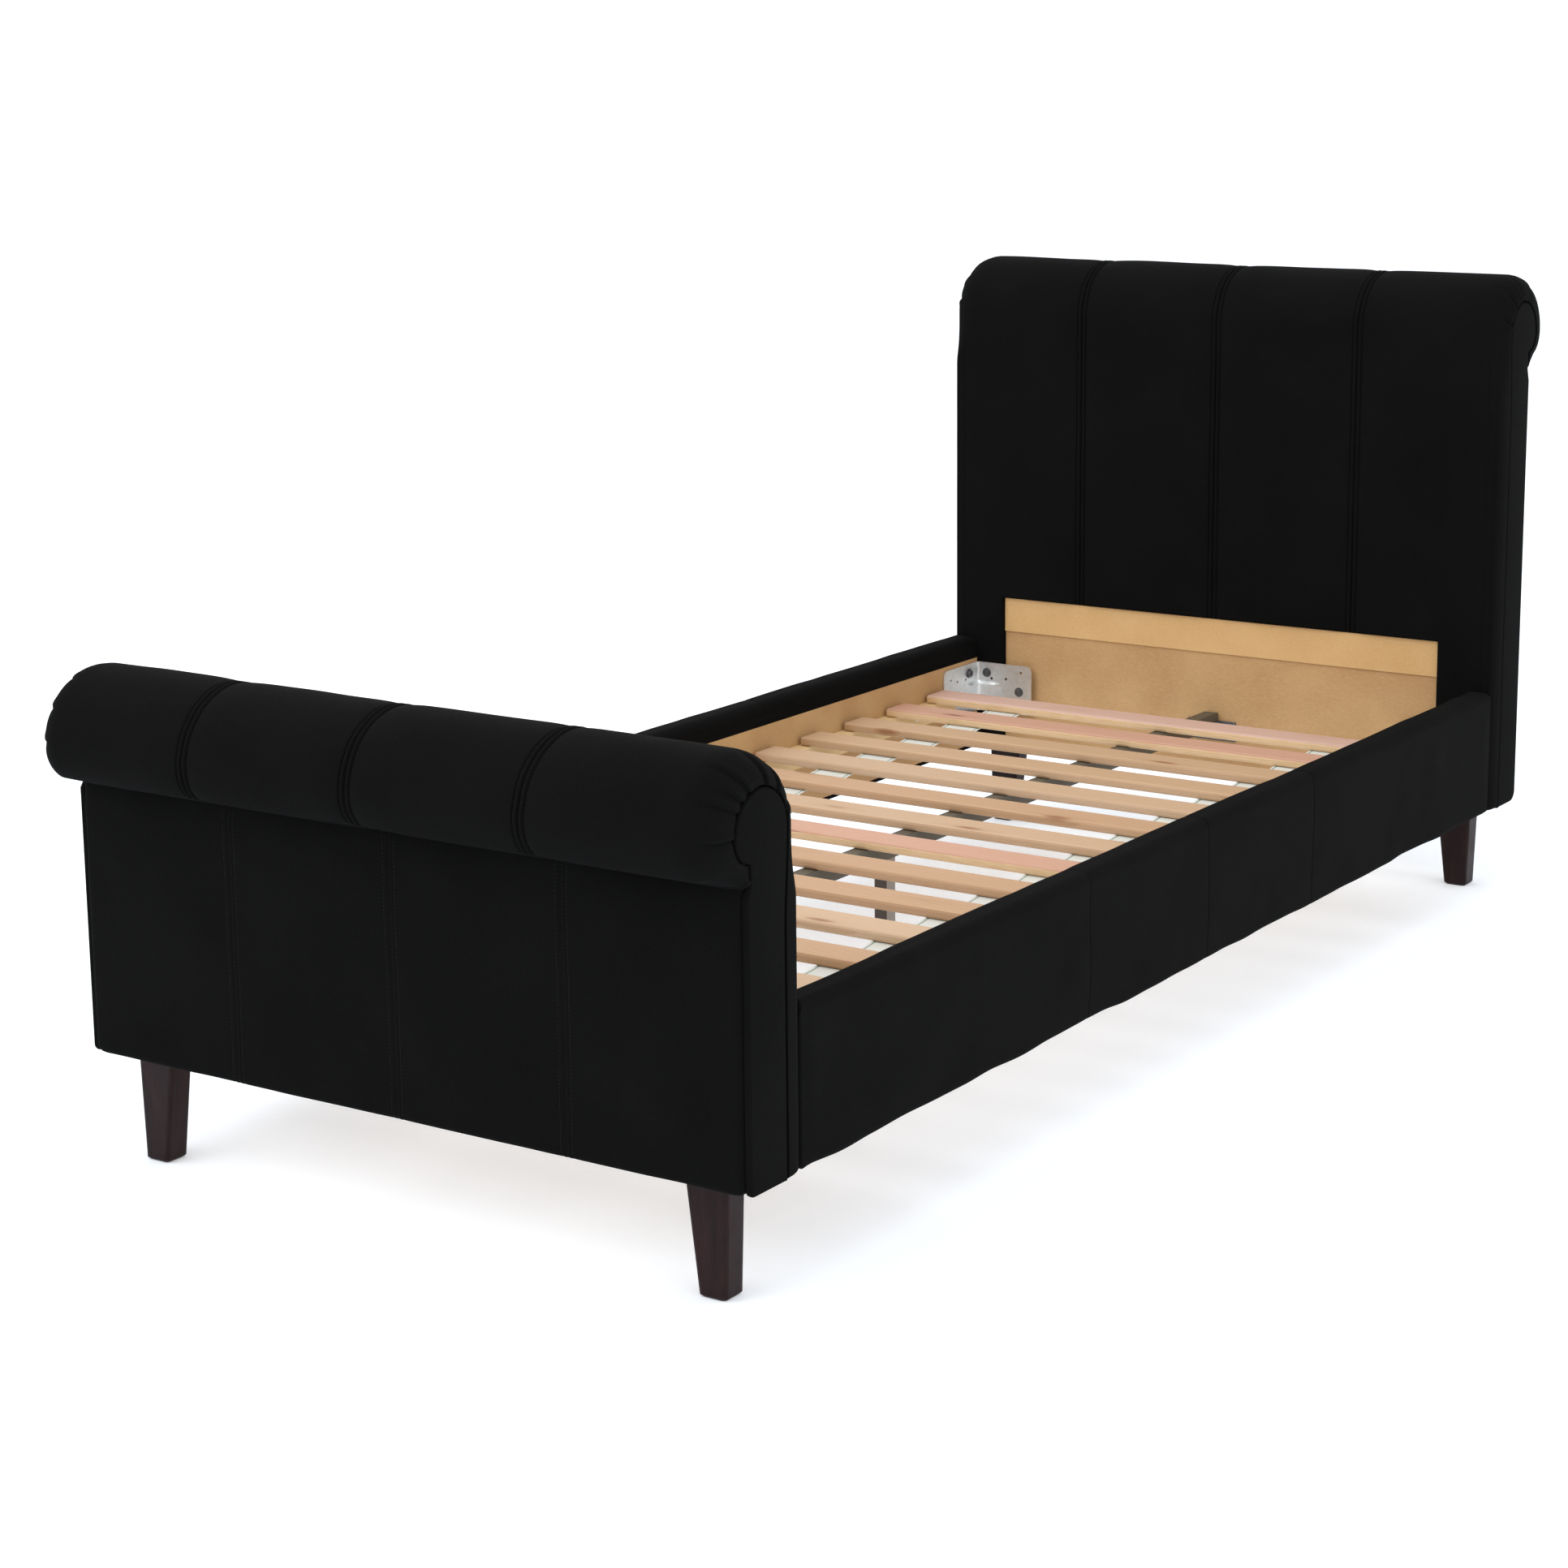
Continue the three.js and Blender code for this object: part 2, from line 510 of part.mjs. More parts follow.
// ---------- centre rail ----------
const PLATE_FACE_Y = BAY_HALF + LINING_BOARD_RECESS - GAP;
const CENTRE_RAIL_END_Y = PLATE_FACE_Y - CENTRE_BRACKET_STEEL - CENTRE_RAIL_PLAY;
const CENTRE_RAIL_BOTTOM = BASE_TOP - CENTRE_RAIL_SIDE;
addPiece('centre_rail',
  box(-CENTRE_RAIL_SIDE / 2, CENTRE_RAIL_SIDE / 2, -CENTRE_RAIL_END_Y, CENTRE_RAIL_END_Y,
    CENTRE_RAIL_BOTTOM, BASE_TOP), BROWN_STEEL);

function centreBracket(signY) {
  const [plateWidth, plateHeight] = CENTRE_BRACKET_PLATE;
  const steel = CENTRE_BRACKET_STEEL;
  const reachY = PLATE_FACE_Y - CENTRE_BRACKET_REACH;
  const cheekX = CENTRE_RAIL_SIDE / 2 + CENTRE_RAIL_PLAY;
  const floorZ = CENTRE_RAIL_BOTTOM - GAP;
  const plate = box(-plateWidth / 2, plateWidth / 2, signY * (PLATE_FACE_Y - steel), signY * PLATE_FACE_Y,
    BASE_TOP - plateHeight, BASE_TOP - CENTRE_BRACKET_DROP);
  const pieces = [
    box(-cheekX - steel, cheekX + steel, signY * reachY, signY * PLATE_FACE_Y, floorZ - steel, floorZ),
    box(-cheekX - steel, -cheekX, signY * reachY, signY * PLATE_FACE_Y, floorZ - steel,
      BASE_TOP - CENTRE_BRACKET_DROP),
    box(cheekX, cheekX + steel, signY * reachY, signY * PLATE_FACE_Y, floorZ - steel,
      BASE_TOP - CENTRE_BRACKET_DROP),
  ];
  return toGeometry(pieces.reduce((solid, piece) => solid.add(toSolid(piece)), toSolid(plate)));
}
addPiece('centre_rail_bracket_foot', centreBracket(-1), GREY_STEEL);
addPiece('centre_rail_bracket_head', centreBracket(1), GREY_STEEL);

const squareAt = (side, y, z0, z1) => box(-side / 2, side / 2, y - side / 2, y + side / 2, z0, z1);
addPiece('centre_leg',
  squareAt(CENTRE_LEG_SIDE, CENTRE_LEG_Y, CENTRE_CAP_HEIGHT + GAP, CENTRE_RAIL_BOTTOM - GAP), BROWN_STEEL);
addPiece('centre_leg_foot', squareAt(CENTRE_CAP_SIDE, CENTRE_LEG_Y, 0, CENTRE_CAP_HEIGHT), BLACK_PLASTIC);

// ---------- legs ----------
const LEG_CENTRE_Y = BAY_HALF + BOTTOM_RAIL_SETBACK + BOTTOM_RAIL_DEPTH / 2;
// Each leg tapers in X only: a little on its outer side, the rest on its inner side.
function legGeometry(signX, signY) {
  const topOuter = HALF_WIDTH - LEG_INSET;
  const section = (z, outerIn, width, shrink) => {
    const outerX = topOuter - outerIn - shrink;
    const innerX = topOuter - outerIn - width + shrink;
    const y0 = LEG_CENTRE_Y - LEG_DEPTH / 2 + shrink;
    const y1 = LEG_CENTRE_Y + LEG_DEPTH / 2 - shrink;
    const loop = roundedRectangle(innerX, y0, outerX, y1, LEG_EDGE_ROUND, 3);
    return { at: z, loop: loop.map(([x, y]) => [signX * x, signY * y]) };
  };
  const legTop = FLOOR_CLEARANCE - GAP;
  const chamferShare = LEG_FOOT_CHAMFER / legTop;
  const taperAt = (share) => LEG_TOP_WIDTH + (LEG_BOTTOM_WIDTH - LEG_TOP_WIDTH) * share;
  const sections = [
    section(0, LEG_OUTER_TAPER, LEG_BOTTOM_WIDTH, LEG_FOOT_CHAMFER),
    section(LEG_FOOT_CHAMFER, LEG_OUTER_TAPER * (1 - chamferShare), taperAt(1 - chamferShare), 0),
    section(legTop, 0, LEG_TOP_WIDTH, 0),
  ];
  return loft(sections, ([x, y], z) => new THREE.Vector3(x, y, z));
}

for (const [end, signY] of [['foot', -1], ['head', 1]]) {
  for (const [hand, signX] of [['left', -1], ['right', 1]]) {
    addPiece(`leg_${end}_${hand}`, legGeometry(signX, signY), DARK_WOOD);
  }
}

export default bed;
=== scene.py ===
"""Upholstered sleigh bed frame: padded scroll headboard and footboard, padded side rails,
slatted base on webbing, steel corner brackets, centre rail and tapered timber legs."""
import logging
import math
from dataclasses import dataclass
from enum import Enum
from typing import Any, Iterable, Optional, Sequence

import bmesh
import bpy
import numpy as np
from mathutils import Matrix, Vector


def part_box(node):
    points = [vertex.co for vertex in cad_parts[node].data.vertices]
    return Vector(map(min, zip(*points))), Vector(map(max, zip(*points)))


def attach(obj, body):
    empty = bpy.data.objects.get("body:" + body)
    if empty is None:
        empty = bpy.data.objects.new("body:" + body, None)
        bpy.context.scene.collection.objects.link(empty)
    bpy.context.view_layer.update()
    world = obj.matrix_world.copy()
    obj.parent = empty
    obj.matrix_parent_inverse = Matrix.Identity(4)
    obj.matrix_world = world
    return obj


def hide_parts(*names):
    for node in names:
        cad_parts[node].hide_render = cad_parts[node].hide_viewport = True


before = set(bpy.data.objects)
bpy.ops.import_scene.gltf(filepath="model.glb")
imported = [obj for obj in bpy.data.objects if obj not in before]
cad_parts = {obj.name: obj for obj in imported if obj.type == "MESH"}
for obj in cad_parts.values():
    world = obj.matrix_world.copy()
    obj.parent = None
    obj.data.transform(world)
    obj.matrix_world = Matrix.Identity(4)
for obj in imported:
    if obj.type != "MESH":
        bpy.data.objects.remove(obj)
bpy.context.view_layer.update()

LOG = logging.getLogger("sleigh_bed")
Material = bpy.types.Material
Object = bpy.types.Object
MM = 0.001
SHARP_ANGLE = 42.0  # degrees; edges past it are drawn sharp
LATTICE = 61  # cells of the soft noise, each way


# ---------------------------------------------------------------- small tools
def linear(hex_colour: str) -> tuple[float, float, float, float]:
    """Turns an sRGB hex colour to linear values.

    Args:
        hex_colour: colour such as "#ba9669".

    Returns:
        Linear red, green, blue and an alpha of one.
    """
    parts = [int(hex_colour[i:i + 2], 16) / 255 for i in (1, 3, 5)]
    r, g, b = (p / 12.92 if p <= 0.04045 else ((p + 0.055) / 1.055) ** 2.4 for p in parts)
    return (r, g, b, 1.0)


def add_node(tree: bpy.types.NodeTree, kind: str, values: Optional[dict] = None,
             links: Optional[dict] = None, **settings: Any) -> bpy.types.Node:
    """Adds a node with its settings, its socket values and its links.

    Args:
        tree: node tree that gets the node.
        kind: Blender's name of the node type.
        values: input socket name or index to constant.
        links: input socket name or index to the output socket that feeds it.
        settings: attributes of the node.

    Returns:
        The new node.
    """
    node = tree.nodes.new(kind)
    for key, value in settings.items():
        setattr(node, key, value)
    for key, value in (values or {}).items():
        node.inputs[key].default_value = value
    for key, source in (links or {}).items():
        tree.links.new(source, node.inputs[key])
    return node


def band_scale(spacing: float) -> float:
    """Scale of a band wave texture whose lines are spacing metres apart."""
    return 2 * math.pi / (20 * spacing)


def arc(centre: tuple[float, float], radius: float, degrees: np.ndarray) -> np.ndarray:
    """Points of an arc in a plane.

    Args:
        centre: centre of the arc.
        radius: its radius.
        degrees: angle of each point, counted from the first axis to the second.

    Returns:
        One row for each angle.
    """
    a = np.radians(degrees)
    return np.stack([centre[0] + radius * np.cos(a), centre[1] + radius * np.sin(a)], 1)


def stations(start: float, stop: float, step: float,
             fine: Iterable[tuple[float, float]] = (), fine_step: float = MM) -> np.ndarray:
    """Places along a line, even except near the features that need a finer grid.

    Args:
        start: first place.
        stop: last place.
        step: coarse spacing.
        fine: (centre, reach) of each finer stretch.
        fine_step: spacing inside those.

    Returns:
        Sorted places in metres, start and stop included.
    """
    fine = list(fine)
    places = [p for p in np.linspace(start, stop, max(2, round((stop - start) / step) + 1))
              if p in (start, stop) or all(abs(p - c) > reach + 0.3 * step for c, reach in fine)]
    for centre, reach in fine:
        count = max(1, round(reach / fine_step))
        places += [centre + reach * k / count for k in range(-count, count + 1)
                   if start <= centre + reach * k / count <= stop]
    kept: list[float] = []
    for place in sorted(places):
        if not kept or place - kept[-1] > 0.2 * fine_step:
            kept.append(float(place))
    return np.array(kept)


def soft_noise(u: np.ndarray, v: np.ndarray, size_u: float, size_v: float, seed: int) -> np.ndarray:
    """Smooth random field between -1 and 1.

    Args:
        u: first coordinate in metres.
        v: second coordinate in metres.
        size_u: size of a lump along the first.
        size_v: size of a lump along the second.
        seed: fixed seed.

    Returns:
        The field's value at each point.
    """
    lattice = np.random.default_rng(seed).uniform(-1, 1, (LATTICE, LATTICE))
    a, b = u / size_u + 17.3, v / size_v + 11.7
    i, j = np.floor(a).astype(int), np.floor(b).astype(int)
    f, g = a - i, b - j
    f, g = f * f * (3 - 2 * f), g * g * (3 - 2 * g)

    def at(di: int, dj: int) -> np.ndarray:
        """Lattice value at one corner of each point's cell."""
        return lattice[(i + di) % LATTICE, (j + dj) % LATTICE]

    return (at(0, 0) * (1 - f) + at(1, 0) * f) * (1 - g) + (at(0, 1) * (1 - f) + at(1, 1) * f) * g


def smooth(x: np.ndarray) -> np.ndarray:
    """Smooth step of x from zero to one."""
    x = np.clip(x, 0, 1)
    return x * x * (3 - 2 * x)


def edge_drop(distance: np.ndarray, radius: float) -> np.ndarray:
    """How far a rounded edge falls away.

    Args:
        distance: distance from the border.
        radius: the edge's rounding.

    Returns:
        The fall at each distance, nothing past the rounding.
    """
    d = np.clip(distance, 0, radius)
    return radius - np.sqrt(np.maximum(radius ** 2 - (radius - d) ** 2, 0))


def grid_normals(grid: np.ndarray) -> np.ndarray:
    """Unit normals of a grid of points.

    Args:
        grid: rows by columns by three.

    Returns:
        One normal for each point.
    """
    across = np.gradient(grid, axis=1)
    along = np.gradient(grid, axis=0)
    normal = np.cross(along, across)
    return normal / np.maximum(np.linalg.norm(normal, axis=2, keepdims=True), 1e-12)


def new_object(name: str, mesh: bpy.types.Mesh, material: Material) -> Object:
    """Puts a mesh into the scene as an object at the origin.

    Args:
        name: object name.
        mesh: its mesh.
        material: its only finish.

    Returns:
        The object.
    """
    mesh.materials.clear()
    mesh.materials.append(material)
    piece = bpy.data.objects.new(name, mesh)
    bpy.context.scene.collection.objects.link(piece)
    return piece


def make_mesh(name: str, points: np.ndarray, faces: list[tuple[int, ...]], material: Material,
              uv: Optional[np.ndarray] = None) -> Object:
    """Makes a closed mesh whose faces point outwards.

    Args:
        name: piece name.
        points: one row of x, y, z for each vertex.
        faces: vertex numbers of each face.
        material: its finish.
        uv: one row of u, v in metres for each vertex.

    Returns:
        The object.
    """
    used = np.unique(np.concatenate([np.asarray(f) for f in faces]))
    renumber = np.full(len(points), -1)
    renumber[used] = np.arange(len(used))
    faces = [tuple(int(renumber[i]) for i in f) for f in faces]
    points = points[used]
    volume = 0.0
    for face in faces:
        first = points[face[0]]
        for k in range(1, len(face) - 1):
            volume += float(np.dot(first, np.cross(points[face[k]], points[face[k + 1]])))
    if volume < 0:
        faces = [f[::-1] for f in faces]
    mesh = bpy.data.meshes.new(name)
    mesh.from_pydata(points.tolist(), [], faces)
    if uv is not None:
        uv = uv[used]
        layer = mesh.uv_layers.new(name="cloth")
        corner = np.empty(len(mesh.loops), dtype=np.int32)
        mesh.loops.foreach_get("vertex_index", corner)
        layer.data.foreach_set("uv", uv[corner].astype(np.float32).ravel())
    mesh.polygons.foreach_set("use_smooth", np.ones(len(mesh.polygons), dtype=bool))
    mesh.set_sharp_from_angle(angle=math.radians(SHARP_ANGLE))
    mesh.validate()
    return new_object(name, mesh, material)


def shell(name: str, outer: np.ndarray, inner: np.ndarray, material: Material,
          keep: Optional[np.ndarray] = None, uv: Optional[np.ndarray] = None) -> Object:
    """Makes a closed shell from an outer grid, an inner grid behind it and walls at every border.

    Args:
        name: piece name.
        outer: outer grid, rows by columns by three.
        inner: inner grid of the same shape.
        material: its finish.
        keep: rows-1 by columns-1, False where a cell is left open.
        uv: rows by columns by two, in metres.

    Returns:
        The object.
    """
    rows, columns = outer.shape[:2]
    keep = np.ones((rows - 1, columns - 1), bool) if keep is None else keep
    count = rows * columns
    faces: list[tuple[int, ...]] = []
    padded = np.pad(keep, 1)
    for r, c in zip(*np.nonzero(keep)):
        a, b = int(r * columns + c), int(r * columns + c + 1)
        d, e = int((r + 1) * columns + c), int((r + 1) * columns + c + 1)
        faces.append((a, b, e, d))
        faces.append((a + count, d + count, e + count, b + count))
        for open_side, (p, q) in ((not padded[r, c + 1], (b, a)), (not padded[r + 2, c + 1], (d, e)),
                                  (not padded[r + 1, c], (a, d)), (not padded[r + 1, c + 2], (e, b))):
            if open_side:
                faces.append((p, q, q + count, p + count))
    points = np.concatenate([outer.reshape(-1, 3), inner.reshape(-1, 3)])
    both = None if uv is None else np.concatenate([uv.reshape(-1, 2)] * 2)
    return make_mesh(name, points, faces, material, both)


def prism(name: str, grid: np.ndarray, material: Material, uv: np.ndarray) -> Object:
    """Makes a closed solid from rings: each column of the grid is one closed ring.

    Args:
        name: piece name.
        grid: ring points by rings by three.
        material: its finish.
        uv: ring points by rings by two, in metres.

    Returns:
        The object.
    """
    rows, columns = grid.shape[:2]
    faces = []
    for r in range(rows):
        s = (r + 1) % rows
        for c in range(columns - 1):
            faces.append((r * columns + c, s * columns + c, s * columns + c + 1, r * columns + c + 1))
    faces.append(tuple(r * columns for r in range(rows))[::-1])
    faces.append(tuple(r * columns + columns - 1 for r in range(rows)))
    return make_mesh(name, grid.reshape(-1, 3), faces, material, uv.reshape(-1, 2))


# ---------------------------------------------------------------- finishes
class Axis(Enum):
    """Direction that a grain runs in."""

    X = 0
    Y = 1
    Z = 2


@dataclass
class NodeMaterial:
    """A new material with its tree, its surface shader and its output."""

    name: str

    def __post_init__(self) -> None:
        """Makes the empty material."""
        self.material = bpy.data.materials.new(self.name)
        self.material.use_nodes = True
        self.tree = self.material.node_tree
        self.tree.nodes.clear()
        self.shader = self.add("ShaderNodeBsdfPrincipled")
        self.add("ShaderNodeOutputMaterial", links={"Surface": self.shader.outputs["BSDF"]})

    def add(self, kind: str, values: Optional[dict] = None, links: Optional[dict] = None,
            **settings: Any) -> bpy.types.Node:
        """Adds a node to this material."""
        return add_node(self.tree, kind, values, links, **settings)

    def space(self, scale: Sequence[float] = (1, 1, 1), shift: Sequence[float] = (0, 0, 0),
              output: str = "Object") -> bpy.types.NodeSocket:
        """The piece's coordinates, shifted and scaled.

        Args:
            scale: scale along each axis.
            shift: shift along each axis.
            output: which coordinates, Object or UV.

        Returns:
            The coordinates' socket.
        """
        source = self.add("ShaderNodeTexCoord").outputs[output]
        return self.add("ShaderNodeMapping", {"Location": shift, "Scale": scale},
                        {"Vector": source}).outputs["Vector"]

    def noise(self, where: bpy.types.NodeSocket, scale: float, detail: float = 3.0,
              rough: float = 0.55, distortion: float = 0.0) -> bpy.types.NodeSocket:
        """Noise value over the coordinates given."""
        return self.add("ShaderNodeTexNoise", {"Scale": scale, "Detail": detail, "Roughness": rough,
                                               "Distortion": distortion}, {"Vector": where}).outputs["Fac"]

    def ramp(self, source: bpy.types.NodeSocket, low: float, high: float, to_low: float = 0.0,
             to_high: float = 1.0) -> bpy.types.NodeSocket:
        """Maps a stretch of values to another one, clamped."""
        return self.add("ShaderNodeMapRange", {"From Min": low, "From Max": high, "To Min": to_low,
                                               "To Max": to_high}, {"Value": source}).outputs["Result"]

    def mix(self, factor: bpy.types.NodeSocket, a: Any, b: Any) -> bpy.types.NodeSocket:
        """Mixes two colours.

        Args:
            factor: share of the second.
            a: first colour, a hex text or a socket.
            b: second colour, likewise.

        Returns:
            The mixed colour's socket.
        """
        node = self.add("ShaderNodeMix", links={0: factor}, data_type="RGBA")
        for index, colour in ((6, a), (7, b)):
            if isinstance(colour, str):
                node.inputs[index].default_value = linear(colour)
            else:
                self.tree.links.new(colour, node.inputs[index])
        return node.outputs[2]

    def math(self, operation: str, a: Any, b: Any = 0.0) -> bpy.types.NodeSocket:
        """One arithmetic step.

        Args:
            operation: its name.
            a: first value or socket.
            b: second value or socket.

        Returns:
            The result's socket.
        """
        node = self.add("ShaderNodeMath", operation=operation)
        for index, value in enumerate((a, b)):
            if isinstance(value, (int, float)):
                node.inputs[index].default_value = value
            else:
                self.tree.links.new(value, node.inputs[index])
        return node.outputs[0]

    def bump(self, height: bpy.types.NodeSocket, distance: float, strength: float = 1.0,
             below: Optional[bpy.types.NodeSocket] = None) -> bpy.types.NodeSocket:
        """Bumps the surface.

        Args:
            height: height of the pattern.
            distance: its depth in metres.
            strength: share of it that shows.
            below: another bump's normal, under this one.

        Returns:
            The normal's socket.
        """
        node = self.add("ShaderNodeBump", {"Strength": strength, "Distance": distance},
                        {"Height": height})
        if below is not None:
            self.tree.links.new(below, node.inputs["Normal"])
        return node.outputs["Normal"]

    def finish(self, links: dict, values: dict) -> Material:
        """Feeds the surface shader.

        Args:
            links: shader input to the socket that feeds it.
            values: shader input to constant.

        Returns:
            The material.
        """
        for key, value in values.items():
            self.shader.inputs[key].default_value = value
        for key, source in links.items():
            self.tree.links.new(source, self.shader.inputs[key])
        return self.material


@dataclass(frozen=True)
class WovenUpholstery:
    """Plain-woven polyester upholstery cloth, dyed black. It drinks the light: no highlight runs
    along a fold. The nap varies the black a little at random, and the thread tops are drawn a
    little lighter grey as a painted highlight."""

    name: str = "woven_upholstery_black"
    dark: str = "#0a0a0a"
    light: str = "#111111"
    thread: float = 1.7 * MM  # real threads are 0.6 mm apart; drawn coarser so that they show

    def build(self) -> Material:
        """Makes the material, in metres of cloth through the piece's UV map.

        Returns:
            The material.
        """
        m = NodeMaterial(self.name)
        cloth = m.space(output="UV")
        warp = m.add("ShaderNodeTexWave", {"Scale": band_scale(self.thread), "Distortion": 0.6,
                                           "Detail": 1.0, "Detail Scale": 0.4},
                     {"Vector": cloth}, bands_direction="X").outputs["Fac"]
        weft = m.add("ShaderNodeTexWave", {"Scale": band_scale(self.thread), "Distortion": 0.6,
                                           "Detail": 1.0, "Detail Scale": 0.4},
                     {"Vector": cloth}, bands_direction="Y").outputs["Fac"]
        weave = m.math("MULTIPLY", warp, weft)
        lint = m.noise(cloth, 1 / (2.4 * MM), 4.0, 0.7)
        patches = m.noise(cloth, 1 / 0.16, 3.0, 0.5)
        shade = m.math("ADD", m.math("MULTIPLY", patches, 0.55), m.math("MULTIPLY", lint, 0.45))
        colour = m.mix(m.ramp(shade, 0.3, 0.7), self.dark, self.light)
        # painted highlight: where the weave rises, the thread tops are drawn lighter grey
        colour = m.mix(m.ramp(weave, 0.0, 0.8, 0.0, 0.3), colour, "#171717")
        soft = m.bump(m.noise(cloth, 1 / 0.045, 2.0, 0.5), 1.6 * MM, 0.35)
        normal = m.bump(m.math("ADD", weave, m.math("MULTIPLY", lint, 0.7)), 0.5 * MM, 0.55, soft)
        rough = m.ramp(lint, 0.2, 0.8, 0.84, 0.98)
        return m.finish({"Base Color": colour, "Normal": normal, "Roughness": rough},
                        {"Specular IOR Level": 0.03, "Sheen Weight": 0.01, "Sheen Roughness": 0.4})


@dataclass(frozen=True)
class Sewing:
    """Bonded polyester sewing thread. Its twist gives each stitch a faint shine on the cloth."""

    name: str = "sewing_thread_black"

    def build(self) -> Material:
        """Makes the material.

        Returns:
            The material.
        """
        m = NodeMaterial(self.name)
        twist = m.add("ShaderNodeTexWave", {"Scale": band_scale(0.8 * MM), "Distortion": 0.5},
                      {"Vector": m.space()}, bands_direction="DIAGONAL").outputs["Fac"]
        # painted highlight: the twist's ridges are drawn lighter as the thread's shine
        colour = m.mix(twist, "#0c0c0c", "#1e1e1e")
        return m.finish({"Base Color": colour, "Normal": m.bump(twist, 0.15 * MM, 0.6),
                         "Roughness": m.ramp(twist, 0, 1, 0.5, 0.7)}, {"Specular IOR Level": 0.12})


@dataclass(frozen=True)
class Hardboard:
    """Pressed wood-fibre board, smooth side out. It reads as warm tan paper: flecked with fibres,
    cloudy over a hand's width, and nearly without shine."""

    name: str = "pressed_fibre_board_tan"
    base: str = "#c29d6e"
    deep: str = "#b1895c"
    pale: str = "#d0ae80"

    def build(self) -> Material:
        """Makes the material.

        Returns:
            The material.
        """
        m = NodeMaterial(self.name)
        where = m.space()
        clouds = m.noise(where, 1 / 0.13, 4.0, 0.6)
        fibres = m.noise(m.space((1 / 0.006, 1 / 0.002, 1 / 0.002)), 1.0, 4.0, 0.7, 0.8)
        specks = m.noise(where, 1 / (1.6 * MM), 2.0, 0.6)
        colour = m.mix(m.ramp(clouds, 0.3, 0.7), self.deep, self.base)
        colour = m.mix(m.ramp(fibres, 0.45, 0.75, 0.0, 0.55), colour, self.pale)
        colour = m.mix(m.ramp(specks, 0.62, 0.74, 0.0, 0.45), colour, "#8d6842")
        normal = m.bump(m.math("ADD", fibres, specks), 0.25 * MM, 0.5)
        return m.finish({"Base Color": colour, "Normal": normal,
                         "Roughness": m.ramp(clouds, 0.2, 0.8, 0.62, 0.78)}, {"Specular IOR Level": 0.35})


@dataclass(frozen=True)
class SawnPine:
    """Planed softwood without a coat. Growth rings give soft darker lines 5 to 8 mm apart along the
    grain, with a knot here and there and short dark resin flecks."""

    name: str
    grain: Axis
    light: str
    dark: str
    ring: float = 6.5 * MM
    shift: float = 0.0
    knot: str = "#8a5a36"
    edge: str = ""
    edge_height: float = 0.0

    def build(self) -> Material:
        """Makes the material, with the grain along its axis.

        Returns:
            The material.
        """
        m = NodeMaterial(self.name)
        stretch = [1.0, 1.0, 1.0]
        stretch[self.grain.value] = 0.07
        long_way = m.space(stretch, (self.shift, self.shift * 0.7, self.shift * 1.3))
        wander = m.noise(long_way, 16.0, 3.0, 0.5)
        rings = m.add("ShaderNodeTexWave",
                      {"Scale": band_scale(self.ring), "Distortion": 7.0, "Detail": 2.0,
                       "Detail Scale": 0.35, "Detail Roughness": 0.55},
                      {"Vector": long_way}, bands_direction="Y" if self.grain is not Axis.Y else "X",
                      wave_profile="SAW").outputs["Fac"]
        fine = [1 / (0.9 * MM)] * 3
        fine[self.grain.value] = 1 / 0.03
        fibre = m.noise(m.space(fine), 1.0, 3.0, 0.6)
        flecked = [1 / 0.028] * 3
        flecked[self.grain.value] = 1 / 0.11
        knots = m.add("ShaderNodeTexVoronoi", {"Scale": 0.55, "Randomness": 1.0},
                      {"Vector": m.space(flecked, (self.shift * 9, 3.0, 5.0))}).outputs["Distance"]
        knot = m.ramp(knots, 0.05, 0.15, 1.0, 0.0)
        halo = m.ramp(knots, 0.1, 0.34, 1.0, 0.0)
        colour = m.mix(m.ramp(rings, 0.25, 1.0, 0.0, 0.6), self.light, self.dark)
        colour = m.mix(m.ramp(wander, 0.35, 0.7, 0.0, 0.35), colour, self.light)
        colour = m.mix(m.ramp(fibre, 0.5, 0.8, 0.0, 0.4), colour, self.dark)
        colour = m.mix(m.math("MULTIPLY", halo, 0.3), colour, self.dark)
        colour = m.mix(m.math("MULTIPLY", knot, 0.85), colour, self.knot)
        if self.edge:  # red heartwood above, pale sapwood along the edges
            height = m.add("ShaderNodeSeparateXYZ", links={0: m.space()}).outputs["Z"]
            below = m.ramp(height, self.edge_height - 0.5 * MM, self.edge_height + 0.5 * MM, 1.0, 0.0)
            colour = m.mix(below, colour, m.mix(m.ramp(fibre, 0.4, 0.8), self.edge, "#c59e70"))
        normal = m.bump(m.math("ADD", fibre, m.math("MULTIPLY", rings, 0.5)), 0.3 * MM, 0.5)
        return m.finish({"Base Color": colour, "Normal": normal,
                         "Roughness": m.ramp(fibre, 0.2, 0.8, 0.5, 0.68)}, {"Specular IOR Level": 0.4})


@dataclass(frozen=True)
class StainedWood:
    """Hardwood stained espresso under a satin lacquer. The pores stay a shade darker than the
    stain, and the lacquer gives one soft broad highlight."""

    name: str = "espresso_stained_hardwood"

    def build(self) -> Material:
        """Makes the material, with the grain standing.

        Returns:
            The material.
        """
        m = NodeMaterial(self.name)
        pores = m.noise(m.space((1 / (1.2 * MM), 1 / (1.2 * MM), 1 / 0.022)), 1.0, 3.0, 0.65)
        figure = m.noise(m.space((1 / 0.012, 1 / 0.012, 1 / 0.11)), 1.0, 3.0, 0.5, 0.6)
        wear = m.noise(m.space(), 1 / 0.03, 3.0, 0.6)
        colour = m.mix(m.ramp(figure, 0.3, 0.72), "#180c0c", "#291617")
        colour = m.mix(m.ramp(pores, 0.5, 0.72, 0.0, 0.7), colour, "#0b0706")
        normal = m.bump(pores, 0.2 * MM, 0.35)
        return m.finish({"Base Color": colour, "Normal": normal,
                         "Roughness": m.ramp(wear, 0.3, 0.7, 0.36, 0.5)},
                        {"Specular IOR Level": 0.12, "Coat Weight": 0.04, "Coat Roughness": 0.3})


